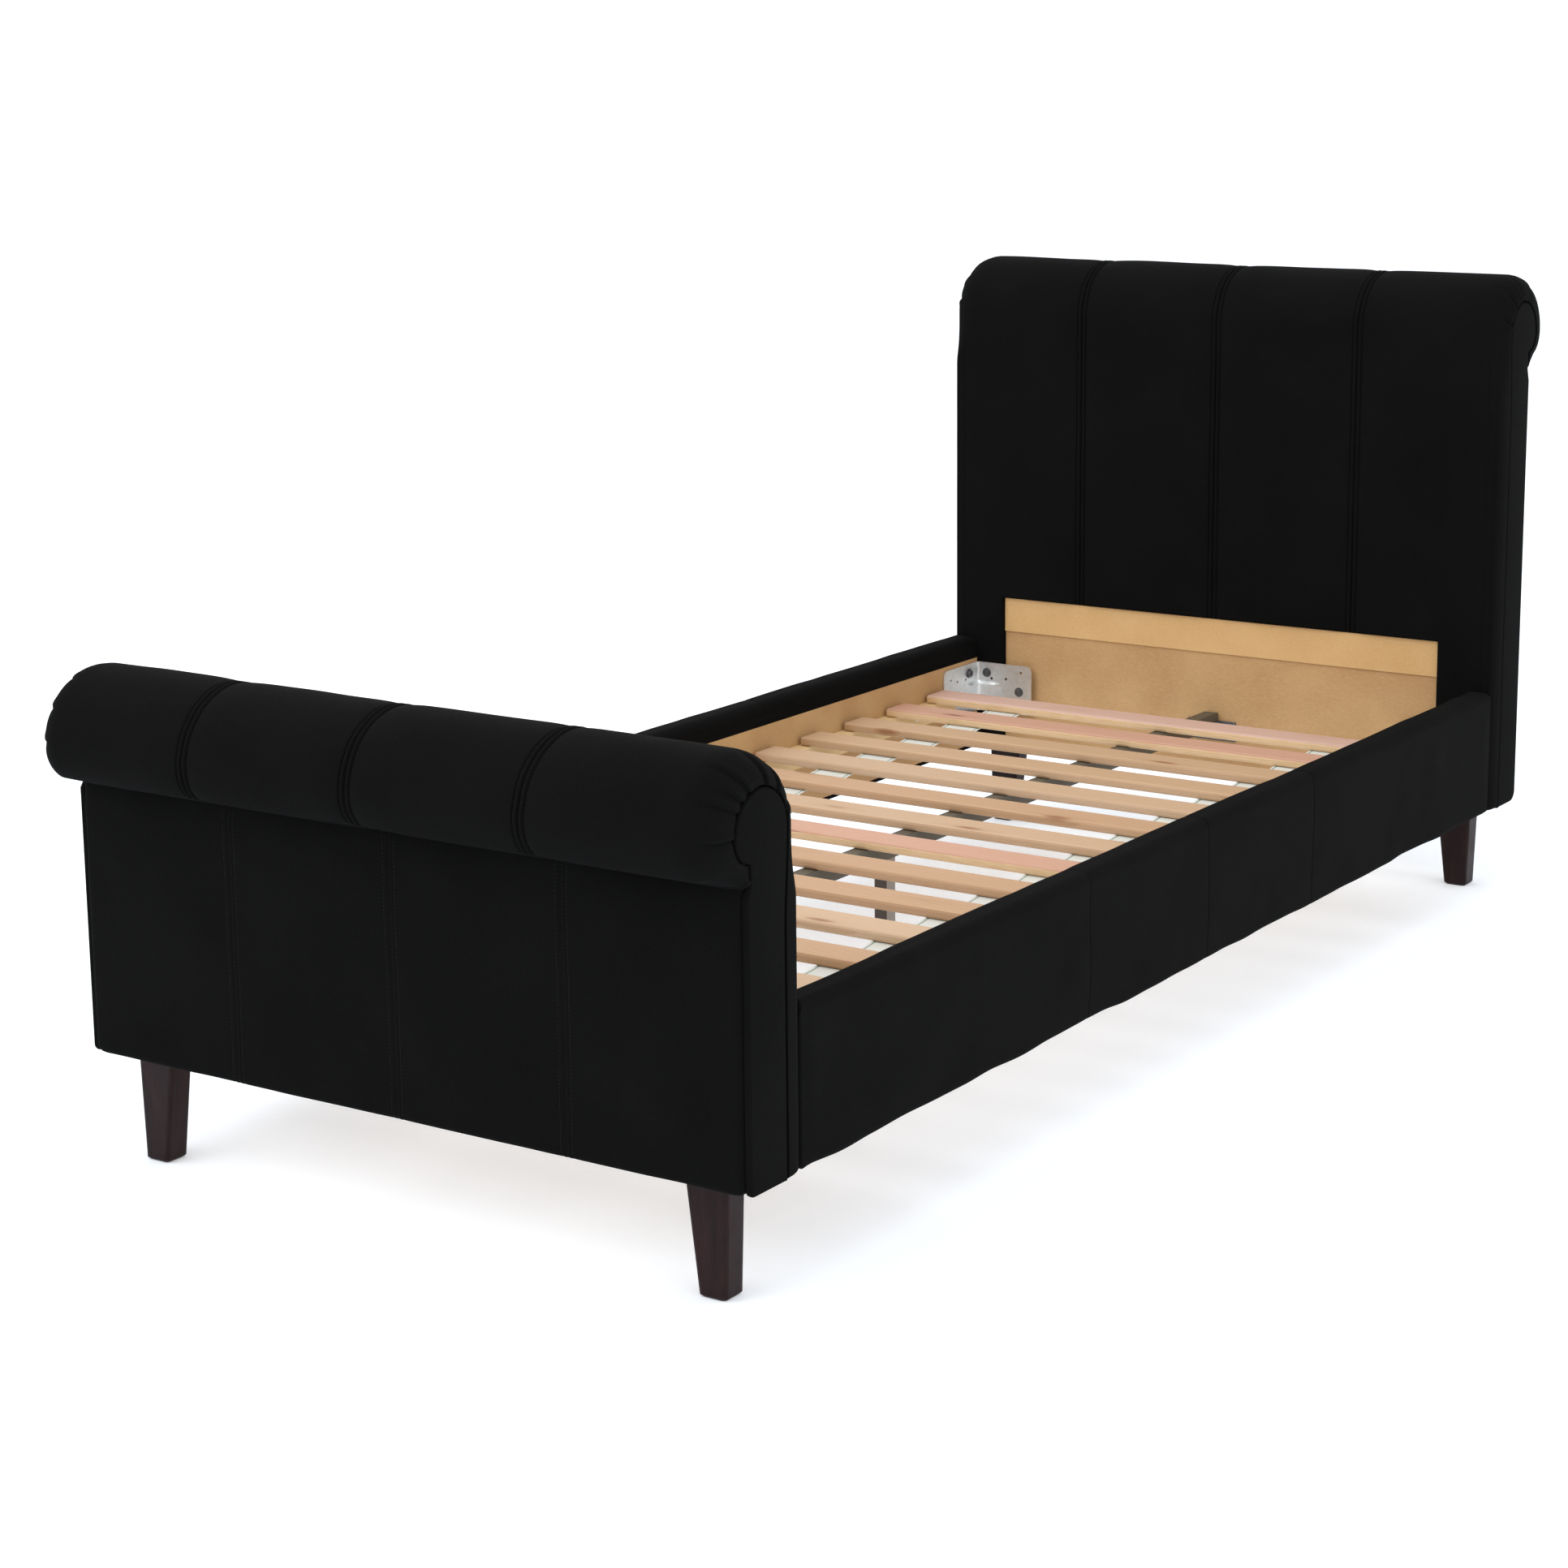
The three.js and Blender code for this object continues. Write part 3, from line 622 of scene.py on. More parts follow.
@dataclass(frozen=True)
class ZincPlate:
    """Bright zinc-plated pressed steel. Pale silver with a faint crystal mottle, rolling lines and
    small handling scratches."""

    name: str = "zinc_plated_steel"
    colour: str = "#e9ebec"
    deep: str = "#dadddd"

    def build(self) -> Material:
        """Makes the material.

        Returns:
            The material.
        """
        m = NodeMaterial(self.name)
        where = m.space()
        spangle = m.add("ShaderNodeTexVoronoi", {"Scale": 1 / 0.007, "Randomness": 1.0},
                        {"Vector": where}, feature="SMOOTH_F1").outputs["Distance"]
        lines = m.noise(m.space((1 / 0.03, 1 / 0.03, 1 / (0.7 * MM))), 1.0, 3.0, 0.6)
        marks = m.noise(where, 1 / 0.012, 4.0, 0.7, 1.2)
        colour = m.mix(m.ramp(spangle, 0.1, 0.9), self.colour, self.deep)
        rough = m.math("ADD", m.ramp(marks, 0.3, 0.7, 0.34, 0.42), m.ramp(lines, 0.4, 0.7, 0.0, 0.04))
        return m.finish({"Base Color": colour, "Roughness": rough,
                         "Normal": m.bump(lines, 0.04 * MM, 0.25)}, {"Metallic": 1.0})


@dataclass(frozen=True)
class PowderCoat:
    """Powder-coated steel. A dry, even colour with the fine dimples that the powder leaves, and a
    dull sheen where it faces the light."""

    name: str
    colour: str
    worn: str
    rough: float = 0.45
    line: str = ""
    line_x: float = 0.0

    def build(self) -> Material:
        """Makes the material.

        Returns:
            The material.
        """
        m = NodeMaterial(self.name)
        where = m.space()
        dimples = m.noise(where, 1 / (1.5 * MM), 2.0, 0.5)
        dust = m.noise(where, 1 / 0.05, 4.0, 0.65)
        colour = m.mix(m.ramp(dust, 0.4, 0.75, 0.0, 0.7), self.colour, self.worn)
        if self.line:  # the tube's rounded corners catch another light
            x = m.math("ABSOLUTE", m.add("ShaderNodeSeparateXYZ", links={0: where}).outputs["X"])
            near = m.ramp(m.math("ABSOLUTE", m.math("SUBTRACT", x, self.line_x)), 0.5 * MM, 1.2 * MM,
                          1.0, 0.0)
            colour = m.mix(near, colour, self.line)
        return m.finish({"Base Color": colour, "Normal": m.bump(dimples, 0.12 * MM, 0.5),
                         "Roughness": m.ramp(dust, 0.2, 0.8, self.rough - 0.06, self.rough + 0.1)},
                        {"Specular IOR Level": 0.5})


@dataclass(frozen=True)
class BlackOxide:
    """Steel bolts blackened in oil. Nearly black with a warm grey glint on the rims."""

    name: str = "black_oxide_steel"

    def build(self) -> Material:
        """Makes the material.

        Returns:
            The material.
        """
        m = NodeMaterial(self.name)
        film = m.noise(m.space(), 1 / 0.003, 3.0, 0.6)
        colour = m.mix(film, "#5a5a5d", "#88888c")
        return m.finish({"Base Color": colour, "Normal": m.bump(film, 0.05 * MM, 0.4),
                         "Roughness": m.ramp(film, 0.2, 0.8, 0.32, 0.5)}, {"Metallic": 1.0})


@dataclass(frozen=True)
class WovenWebbing:
    """Woven polypropylene webbing. White ribs across the band, with painted shade: the grooves
    between the ribs are drawn darker and the rib tops lighter. A thin dark green line runs near
    each edge."""

    name: str = "woven_webbing_white"
    width: float = 0.065
    rib: float = 2.2 * MM

    def build(self) -> Material:
        """Makes the material. UV u runs across the band in metres and v along it.

        Returns:
            The material.
        """
        m = NodeMaterial(self.name)
        cloth = m.space(output="UV")
        ribs = m.add("ShaderNodeTexWave", {"Scale": band_scale(self.rib)}, {"Vector": cloth},
                     bands_direction="Y").outputs["Fac"]
        yarns = m.add("ShaderNodeTexWave", {"Scale": band_scale(1.6 * MM), "Distortion": 0.4},
                      {"Vector": cloth}, bands_direction="X").outputs["Fac"]
        height = m.math("ADD", m.math("MULTIPLY", ribs, 0.7), m.math("MULTIPLY", yarns, 0.5))
        across = m.add("ShaderNodeSeparateXYZ", links={0: cloth}).outputs["X"]
        off_centre = m.math("ABSOLUTE", m.math("SUBTRACT", across, self.width / 2))
        line = m.ramp(m.math("ABSOLUTE", m.math("SUBTRACT", off_centre, self.width / 2 - 5 * MM)),
                      0.8 * MM, 1.6 * MM, 1.0, 0.0)
        # painted shade: darker in the grooves between the ribs, lighter on the rib tops
        colour = m.mix(m.ramp(height, 0.2, 1.1), "#b9bbb4", "#e6e7e0")
        soil = m.noise(cloth, 1 / 0.05, 3.0, 0.6)
        colour = m.mix(m.ramp(soil, 0.45, 0.8, 0.0, 0.4), colour, "#cfccbf")
        # a thin dark green line 5 mm in from each edge of the band
        colour = m.mix(m.math("MULTIPLY", line, 0.8), colour, "#4f6f5c")
        return m.finish({"Base Color": colour, "Normal": m.bump(height, 0.5 * MM, 0.7),
                         "Roughness": m.ramp(height, 0.0, 1.2, 0.75, 0.55)}, {"Sheen Weight": 0.1})


@dataclass(frozen=True)
class MouldedPlastic:
    """Moulded polyethylene. Dull black with a fine spark-eroded grain."""

    name: str = "moulded_polyethylene_black"

    def build(self) -> Material:
        """Makes the material.

        Returns:
            The material.
        """
        m = NodeMaterial(self.name)
        grain = m.noise(m.space(), 1 / (0.9 * MM), 3.0, 0.6)
        colour = m.mix(grain, "#141414", "#232323")
        return m.finish({"Base Color": colour, "Normal": m.bump(grain, 0.15 * MM, 0.4),
                         "Roughness": m.ramp(grain, 0.2, 0.8, 0.42, 0.6)}, {})


@dataclass(frozen=True)
class StudioFloor:
    """Matt white studio floor."""

    name: str = "matt_white_floor"

    def build(self) -> Material:
        """Makes the material.

        Returns:
            The material.
        """
        m = NodeMaterial(self.name)
        haze = m.noise(m.space(), 1.2, 2.0, 0.5)
        colour = m.mix(haze, "#eef3fa", "#f1f6fc")
        return m.finish({"Base Color": colour}, {"Roughness": 0.9, "Specular IOR Level": 0.0,
                                                 "Emission Color": (0.96, 1.0, 1.05, 1.0),
                                                 "Emission Strength": 0.25})


@dataclass
class Palette:
    """Every finish, built once."""

    def __post_init__(self) -> None:
        """Builds the materials."""
        self.cloth = WovenUpholstery().build()
        self.thread = Sewing().build()
        self.board = Hardboard().build()
        self.batten = Hardboard("pressed_fibre_board_pale", "#d6b07a", "#c9a16a", "#dfbd8b").build()
        self.pine = [SawnPine(f"planed_pine_{k + 1}", Axis.X, light, dark, ring, 0.31 * k + 0.1).build()
                     for k, (light, dark, ring) in enumerate((
                         ("#c4a587", "#ad8863", 6.5 * MM), ("#bf9b7a", "#a57e59", 8 * MM),
                         ("#c8ab8d", "#b5916e", 5.5 * MM), ("#c1a07f", "#aa845e", 7 * MM)))]
        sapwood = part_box("slat_01")[1][2] - 2.5 * MM
        self.red_pine = [SawnPine(f"planed_redwood_{k + 1}", Axis.X, light, dark, ring, 0.47 * k + 0.2,
                                  "#6a2f1c", "#dcbd95", sapwood).build()
                         for k, (light, dark, ring) in enumerate((
                             ("#c99f88", "#b07b5e", 7 * MM), ("#d1b0a1", "#bb8c76", 6 * MM)))]
        self.ledger = SawnPine("planed_ledger_pine", Axis.Y, "#dcc08f", "#c9a570", 7 * MM, 0.4).build()
        self.frame_pine = SawnPine("sawn_frame_pine", Axis.X, "#e0c392", "#c9a26b", 8 * MM, 1.4).build()
        self.upright_pine = SawnPine("sawn_upright_pine", Axis.Z, "#dfc08f", "#c8a06a", 8 * MM, 2.1).build()
        self.leg = StainedWood().build()
        self.zinc = ZincPlate().build()
        self.rail_steel = PowderCoat("powder_coated_steel_olive", "#504a3c", "#5a5446", 0.5, "#2b2622",
                                     11.2 * MM).build()
        self.leg_steel = PowderCoat("powder_coated_steel_brown", "#41362f", "#4a3f38", 0.5, "#8f867e",
                                    10.9 * MM).build()
        self.grey_steel = PowderCoat("powder_coated_steel_grey", "#4a4e52", "#666a6d", 0.38).build()
        self.bolt = BlackOxide().build()
        self.webbing = WovenWebbing().build()
        self.plastic = MouldedPlastic().build()
        self.floor = StudioFloor().build()


# ---------------------------------------------------------------- repeated small parts
class Recess(Enum):
    """Drive of a screw head."""

    HEX = "hex socket"
    CROSS = "cross recess"


def new_tree(name: str, inputs: Sequence[tuple[str, str, Any]]) -> bpy.types.NodeTree:
    """Starts a geometry node tree with named inputs.

    Args:
        name: tree name.
        inputs: (name, socket type, default) of each input after the geometry.

    Returns:
        The tree, with its geometry input and output sockets.
    """
    tree = bpy.data.node_groups.new(name, "GeometryNodeTree")
    tree.interface.new_socket(name="Geometry", in_out="INPUT", socket_type="NodeSocketGeometry")
    tree.interface.new_socket(name="Geometry", in_out="OUTPUT", socket_type="NodeSocketGeometry")
    for label, kind, default in inputs:
        socket = tree.interface.new_socket(name=label, in_out="INPUT", socket_type=kind)
        if default is not None:
            socket.default_value = default
    return tree


def bake_nodes(name: str, host: bpy.types.Mesh, tree: bpy.types.NodeTree, sizes: dict[str, Any],
               material: Material) -> Object:
    """Runs a geometry node tree on a host mesh and keeps the result as a plain mesh.

    Args:
        name: name of the piece.
        host: points or edges that the tree works on.
        tree: the geometry node tree.
        sizes: input name to value.
        material: finish of the result.

    Returns:
        The plain mesh object, with no modifier left.
    """
    carrier = bpy.data.objects.new(f"{name}_carrier", host)
    bpy.context.scene.collection.objects.link(carrier)
    modifier = carrier.modifiers.new("nodes", "NODES")
    modifier.node_group = tree
    for item in tree.interface.items_tree:
        if item.in_out == "INPUT" and item.name in sizes:
            modifier[item.identifier] = sizes[item.name]
        elif item.in_out == "INPUT" and item.name == "Material":
            modifier[item.identifier] = material
    bpy.context.view_layer.update()
    evaluated = carrier.evaluated_get(bpy.context.evaluated_depsgraph_get())
    mesh = bpy.data.meshes.new_from_object(evaluated)
    mesh.name = name
    carrier.modifiers.remove(modifier)
    bpy.data.objects.remove(carrier)
    return new_object(name, mesh, material)


@dataclass
class FastenerNodes:
    """Geometry nodes that stand one screw or bolt head on each point, along its facing attribute."""

    recess: Recess

    def build(self) -> bpy.types.NodeTree:
        """Makes the tree.

        Returns:
            The node tree.
        """
        tree = new_tree(f"fastener_{self.recess.name.lower()}", [
            ("Head radius", "NodeSocketFloat", 5 * MM), ("Head height", "NodeSocketFloat", 3 * MM),
            ("Recess radius", "NodeSocketFloat", 2.5 * MM), ("Material", "NodeSocketMaterial", None)])
        given = add_node(tree, "NodeGroupInput").outputs
        head = add_node(tree, "GeometryNodeMeshCylinder", {"Vertices": 20},
                        {"Radius": given["Head radius"], "Depth": given["Head height"]})
        lift = add_node(tree, "ShaderNodeCombineXYZ", links={"Z": given["Head height"]})
        if self.recess is Recess.HEX:
            cutter = add_node(tree, "GeometryNodeMeshCylinder", {"Vertices": 6},
                              {"Radius": given["Recess radius"], "Depth": given["Head height"]})
            cutters = [cutter.outputs["Mesh"]]
        else:
            arm = add_node(tree, "ShaderNodeMath", {1: 0.35}, {0: given["Recess radius"]},
                           operation="MULTIPLY").outputs[0]
            length = add_node(tree, "ShaderNodeMath", {1: 2.0}, {0: given["Recess radius"]},
                              operation="MULTIPLY").outputs[0]
            cutters = []
            for x, y in ((length, arm), (arm, length)):
                size = add_node(tree, "ShaderNodeCombineXYZ",
                                links={"X": x, "Y": y, "Z": given["Head height"]})
                cube = add_node(tree, "GeometryNodeMeshCube", links={"Size": size.outputs[0]})
                cutters.append(cube.outputs["Mesh"])
        cut = add_node(tree, "GeometryNodeMeshBoolean", links={"Mesh 1": head.outputs["Mesh"]},
                       operation="DIFFERENCE", solver="EXACT")
        half = add_node(tree, "ShaderNodeVectorMath", {1: (0.75, 0.75, 0.75)},
                        {0: lift.outputs[0]}, operation="MULTIPLY")
        for mesh in cutters:
            moved = add_node(tree, "GeometryNodeTransform",
                             links={"Geometry": mesh, "Translation": half.outputs[0]})
            tree.links.new(moved.outputs[0], cut.inputs["Mesh 2"])
        seat = add_node(tree, "ShaderNodeVectorMath", {1: (0.45, 0.45, 0.45)},
                        {0: lift.outputs[0]}, operation="MULTIPLY")
        seated = add_node(tree, "GeometryNodeTransform",
                          links={"Geometry": cut.outputs["Mesh"], "Translation": seat.outputs[0]})
        if self.recess is Recess.HEX:
            wide = add_node(tree, "ShaderNodeMath", {1: 1.38}, {0: given["Head radius"]},
                            operation="MULTIPLY").outputs[0]
            thin = add_node(tree, "ShaderNodeMath", {1: 0.3}, {0: given["Head height"]},
                            operation="MULTIPLY").outputs[0]
            washer = add_node(tree, "GeometryNodeMeshCylinder", {"Vertices": 24},
                              {"Radius": wide, "Depth": thin})
            both = add_node(tree, "GeometryNodeJoinGeometry", links={0: washer.outputs["Mesh"]})
            tree.links.new(seated.outputs[0], both.inputs[0])
            seated = both
        facing = add_node(tree, "GeometryNodeInputNamedAttribute", {"Name": "facing"},
                          data_type="FLOAT_VECTOR")
        turn = add_node(tree, "FunctionNodeAlignRotationToVector",
                        links={"Vector": facing.outputs["Attribute"]}, axis="Z")
        placed = add_node(tree, "GeometryNodeInstanceOnPoints",
                          links={"Points": given["Geometry"], "Instance": seated.outputs[0],
                                 "Rotation": turn.outputs["Rotation"]})
        real = add_node(tree, "GeometryNodeRealizeInstances", links={0: placed.outputs[0]})
        dressed = add_node(tree, "GeometryNodeSetMaterial",
                           links={"Geometry": real.outputs[0], "Material": given["Material"]})
        add_node(tree, "NodeGroupOutput", links={"Geometry": dressed.outputs[0]})
        return tree


@dataclass
class StitchNodes:
    """Geometry nodes that lay one small stitch after another along the edges they are given."""

    def build(self) -> bpy.types.NodeTree:
        """Makes the tree.

        Returns:
            The node tree.
        """
        tree = new_tree("stitches", [
            ("Pitch", "NodeSocketFloat", 4.5 * MM), ("Length", "NodeSocketFloat", 3.6 * MM),
            ("Thickness", "NodeSocketFloat", 0.7 * MM), ("Material", "NodeSocketMaterial", None)])
        given = add_node(tree, "NodeGroupInput").outputs
        curve = add_node(tree, "GeometryNodeMeshToCurve", links={0: given["Geometry"]})
        even = add_node(tree, "GeometryNodeResampleCurve", mode="LENGTH",
                        links={"Curve": curve.outputs[0], "Length": given["Pitch"]})
        bead = add_node(tree, "GeometryNodeMeshUVSphere", {"Segments": 5, "Rings": 4, "Radius": 0.5})
        size = add_node(tree, "ShaderNodeCombineXYZ",
                        links={"X": given["Thickness"], "Y": given["Thickness"], "Z": given["Length"]})
        stitch = add_node(tree, "GeometryNodeTransform",
                          links={"Geometry": bead.outputs["Mesh"], "Scale": size.outputs[0]})
        tangent = add_node(tree, "GeometryNodeInputTangent")
        turn = add_node(tree, "FunctionNodeAlignRotationToVector",
                        links={"Vector": tangent.outputs[0]}, axis="Z")
        placed = add_node(tree, "GeometryNodeInstanceOnPoints",
                          links={"Points": even.outputs[0], "Instance": stitch.outputs[0],
                                 "Rotation": turn.outputs["Rotation"]})
        real = add_node(tree, "GeometryNodeRealizeInstances", links={0: placed.outputs[0]})
        dressed = add_node(tree, "GeometryNodeSetMaterial",
                           links={"Geometry": real.outputs[0], "Material": given["Material"]})
        add_node(tree, "NodeGroupOutput", links={"Geometry": dressed.outputs[0]})
        return tree


@dataclass
class Workshop:
    """What every sub-assembly needs: the finishes and the node trees."""

    palette: Palette

    def __post_init__(self) -> None:
        """Builds the node trees."""
        self.bolts = FastenerNodes(Recess.HEX).build()
        self.screws = FastenerNodes(Recess.CROSS).build()
        self.stitching = StitchNodes().build()

    def heads(self, name: str, tree: bpy.types.NodeTree, places: Sequence[tuple], radius: float,
              height: float, material: Material) -> Object:
        """Stands a fastener head at each place.

        Args:
            name: piece name.
            tree: fastener node tree.
            places: (point, direction) of each head.
            radius: head radius.
            height: head height.
            material: its finish.

        Returns:
            The heads as one piece.
        """
        host = bpy.data.meshes.new(f"{name}_points")
        host.from_pydata([tuple(p) for p, _ in places], [], [])
        facing = host.attributes.new("facing", "FLOAT_VECTOR", "POINT")
        facing.data.foreach_set("vector", np.array([d for _, d in places], np.float32).ravel())
        return bake_nodes(name, host, tree, {"Head radius": radius, "Head height": height,
                                             "Recess radius": radius * 0.5}, material)

    def stitches(self, name: str, lines: Sequence[np.ndarray]) -> Object:
        """Sews along lines.

        Args:
            name: piece name.
            lines: rows of points, one array for each line.

        Returns:
            The stitches as one piece.
        """
        points: list[list[float]] = []
        edges = []
        for line in lines:
            base = len(points)
            points += line.tolist()
            edges += [(base + i, base + i + 1) for i in range(len(line) - 1)]
        host = bpy.data.meshes.new(f"{name}_lines")
        host.from_pydata(points, edges, [])
        return bake_nodes(name, host, self.stitching,
                          {"Pitch": 5 * MM, "Length": 4 * MM, "Thickness": 0.9 * MM}, self.palette.thread)


def keep_node(name: str, material: Material) -> None:
    """Gives a CAD node its finish.

    Args:
        name: node name.
        material: the finish of all its slots.
    """
    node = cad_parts[name]
    if not node.material_slots:
        node.data.materials.append(material)
    for place in node.material_slots:
        place.material = material


def hand_over(piece: Object, slot: str, *nodes: str) -> Object:
    """Fixes a piece to the bed and hides the CAD nodes that it stands for.

    Args:
        piece: finished object.
        slot: name of the finish in the frame; not used.
        nodes: CAD nodes that it stands for.

    Returns:
        The piece.
    """
    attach(piece, "root")
    if nodes:
        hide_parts(*nodes)
    LOG.info("piece %s: %d faces, stands for %s", piece.name, len(piece.data.polygons),
             ", ".join(nodes) or "nothing")
    return piece


# ---------------------------------------------------------------- headboard and footboard
ROLL_ROWS = 120  # rows of points over the roll
TUCK_ROWS = 24  # under it
LIP_ROWS = 20  # down the lip
HEM_ROWS = 4  # round the lip's edge
SCROLL_TUCK_END = -84.0  # degrees, where the scroll's tuck meets its neck
WALL_MARK = 200.0  # stands for an angle about the scroll on the upright wall
LIP_MARK = -60.0  # on the lip
HEM_MARK = -100.0  # on the lip's edge and behind it


@dataclass
class SewnSeam:
    """A vertical seam between two panels: three stitched lines with two raised ribs between them,
    pulled down into the padding."""

    line_gap: float = 8 * MM
    sink: float = 2.2 * MM
    ease: float = 12 * MM
    rib: float = 1.7 * MM
    groove: float = 2.2 * MM
    groove_width: float = 1.3 * MM

    def drop(self, offset: np.ndarray) -> np.ndarray:
        """How far the cloth sits below the panel.

        Args:
            offset: sideways distance from the seam.

        Returns:
            The drop at each offset, negative on the ribs.
        """
        a = np.abs(offset)
        sunk = self.sink * np.exp(-np.maximum(a - self.line_gap, 0) / self.ease)
        lines = sum(np.exp(-((offset - k * self.line_gap) / self.groove_width) ** 2) for k in (-1, 0, 1))
        ribs = np.where(a < self.line_gap, np.sin(np.pi * a / self.line_gap) ** 2, 0)
        return sunk + self.groove * lines - self.rib * ribs


@dataclass
class EndSection:
    """The headboard or the footboard: cover, scroll facings, outer panel and lining."""

    shop: Workshop
    prefix: str
    seam: SewnSeam
    seed: int
    neck_setback: float = 12 * MM
    end_round: float = 42 * MM
    wall_round: float = 9 * MM
    wall_blend: float = 90 * MM
    hem_round: float = 9 * MM
    left_hem_share: float = 1.6
    folds_from: float = 0.0
    foot_corner: float = 13 * MM
    end_share: float = 0.07
    skin: float = 11 * MM
    panel_count: int = 4
    edge_line: float = 24 * MM
    crown: float = 0.9 * MM
    lip_reach: float = 7 * MM
    lip_edge: float = 3 * MM
    tuck_rise: float = 8 * MM
    tuck_angle: float = -50.0
    lump: float = 0.8 * MM  # slow unevenness of the padding
    small_lump: float = 0.35 * MM
    ripple: float = 0.8 * MM  # beside the seams
    edge_groove: float = 0.9 * MM  # lines along the sides
    edge_groove_width: float = 1.3 * MM
    opening_round: float = 5 * MM
    floor_round: float = 7 * MM
    panel_rise: float = 2.0 * MM  # crown of the outer panel
    panel_lump: float = 1.2 * MM
    panel_small_lump: float = 0.5 * MM
    panel_round: float = 9 * MM
    panel_tuck: float = 3 * MM  # pulled in under the lip
    panel_wave: float = 1.3 * MM  # of its lower edge
    panel_seam_share: float = 0.2

    def __post_init__(self) -> None:
        """Reads this end's places from the frame."""
        low, high = (np.array(c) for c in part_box(f"{self.prefix}_cover"))
        self.side = 1 if low[1] > 0 else -1
        near, far = sorted((abs(low[1]), abs(high[1])))
        self.inner_y = near
        self.half_width = high[0]
        self.top, self.underside = high[2], low[2]
        self.roll_radius = (far - near) / 2
        self.roll_z = self.top - self.roll_radius
        pad_low, pad_high = (np.array(c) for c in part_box(f"{self.prefix}_outer_pad"))
        self.pad = (pad_low, pad_high)
        self.lip_z = pad_high[2] + 0.3 * MM
        self.outer_u = max(abs(pad_low[1]), abs(pad_high[1])) - near
        self.tuck_radius = self.roll_z - self.lip_z - self.tuck_rise
        self.tuck_u = 2 * self.roll_radius - self.tuck_radius
        face_low, face_high = (np.array(c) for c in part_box(f"{self.prefix}_scroll_facing_right"))
        face_u = sorted((abs(face_low[1]) - near, abs(face_high[1]) - near))
        self.facing_x = (face_low[0], face_high[0])
        self.scroll_radius = (face_u[1] - face_u[0]) / 2
        self.scroll_u = face_u[0] + self.scroll_radius
        self.scroll_z = face_high[2] - self.scroll_radius
        self.scroll_tuck = face_u[1] - self.outer_u + self.neck_setback
        self.scroll_tuck_u = face_u[1] - self.scroll_tuck
        self.scroll_front = face_u[0]
        self.band = (face_u[0] + 7 * MM, self.outer_u - 2.5 * MM)
        lining_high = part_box(f"{self.prefix}_lining_batten")[1]
        self.opening = (lining_high[0] + 1 * MM, lining_high[2] + 1 * MM)
        self.seams = [self.half_width * (2 * k / self.panel_count - 1)
                      for k in range(1, self.panel_count)]

    def to_y(self, u: np.ndarray) -> np.ndarray:
        """Turns a distance outwards from the inner face to y."""
        return self.side * (self.inner_y + u)

    def edge_u(self, z: np.ndarray) -> np.ndarray:
        """Where the facing's front edge lies at each height: straight, then easing into the scroll."""
        ease = smooth(1 - (self.scroll_z - z) / 0.12)
        return self.band[0] + (self.scroll_front - self.band[0]) * ease

    def section(self) -> tuple[np.ndarray, np.ndarray, np.ndarray]:
        """The cover's section at full size and at its very end.

        Returns:
            Outer points, scroll points, and each point's angle about the scroll in degrees, or the
            mark of the wall, the lip or the hem.
        """
        z = stations(self.underside, self.roll_z, 7 * MM,
                     [(self.opening[1], 6 * MM), (self.underside, 6 * MM)], 1.5 * MM)
        rise = np.stack([np.zeros_like(z), z], 1)
        inner_z = self.underside + (z - self.underside) * (self.scroll_z - self.underside) \
            / (self.roll_z - self.underside)
        rise_in = np.stack([self.edge_u(inner_z), inner_z], 1)
        roll = np.linspace(180, 0, ROLL_ROWS + 1)[1:]
        tuck = np.linspace(0, self.tuck_angle, TUCK_ROWS + 1)[1:]
        tuck_in = np.linspace(0, SCROLL_TUCK_END, TUCK_ROWS + 1)[1:]
        over = arc((self.roll_radius, self.roll_z), self.roll_radius, roll)
        over_in = arc((self.scroll_u, self.scroll_z), self.scroll_radius, roll)
        under = arc((self.tuck_u, self.roll_z), self.tuck_radius, tuck)
        under_in = arc((self.scroll_tuck_u, self.scroll_z), self.scroll_tuck, tuck_in)
        lip_u = self.outer_u + self.lip_reach
        edge = self.lip_edge
        run = np.linspace(under[-1], (lip_u, self.lip_z + edge), LIP_ROWS + 1)[1:]
        hem_turn = np.linspace(0, -90, HEM_ROWS + 1)[1:]
        hem = arc((lip_u - edge, self.lip_z + edge), edge, hem_turn)
        tail = np.linspace(hem[-1], (lip_u - 11 * MM, self.lip_z), 3)[1:]
        back = np.concatenate([run, hem, tail])
        neck = under_in[-1]
        flap = np.linspace(neck, (neck[0] + 2 * MM, self.lip_z + edge), LIP_ROWS + 1)[1:]
        hem_in = arc((flap[-1][0] - edge, self.lip_z + edge), edge, hem_turn)
        tail_in = np.linspace(hem_in[-1], hem_in[-1] - (5 * MM, 0), 3)[1:]
        back_in = np.concatenate([flap, hem_in, tail_in])
        outer = np.concatenate([rise, over, under, back])
        inner = np.concatenate([rise_in, over_in, under_in, back_in])
        angle = np.concatenate([np.full(len(z), WALL_MARK), roll, tuck, np.full(len(run), LIP_MARK),
                                np.full(len(hem) + len(tail), HEM_MARK)])
        return outer, inner, angle

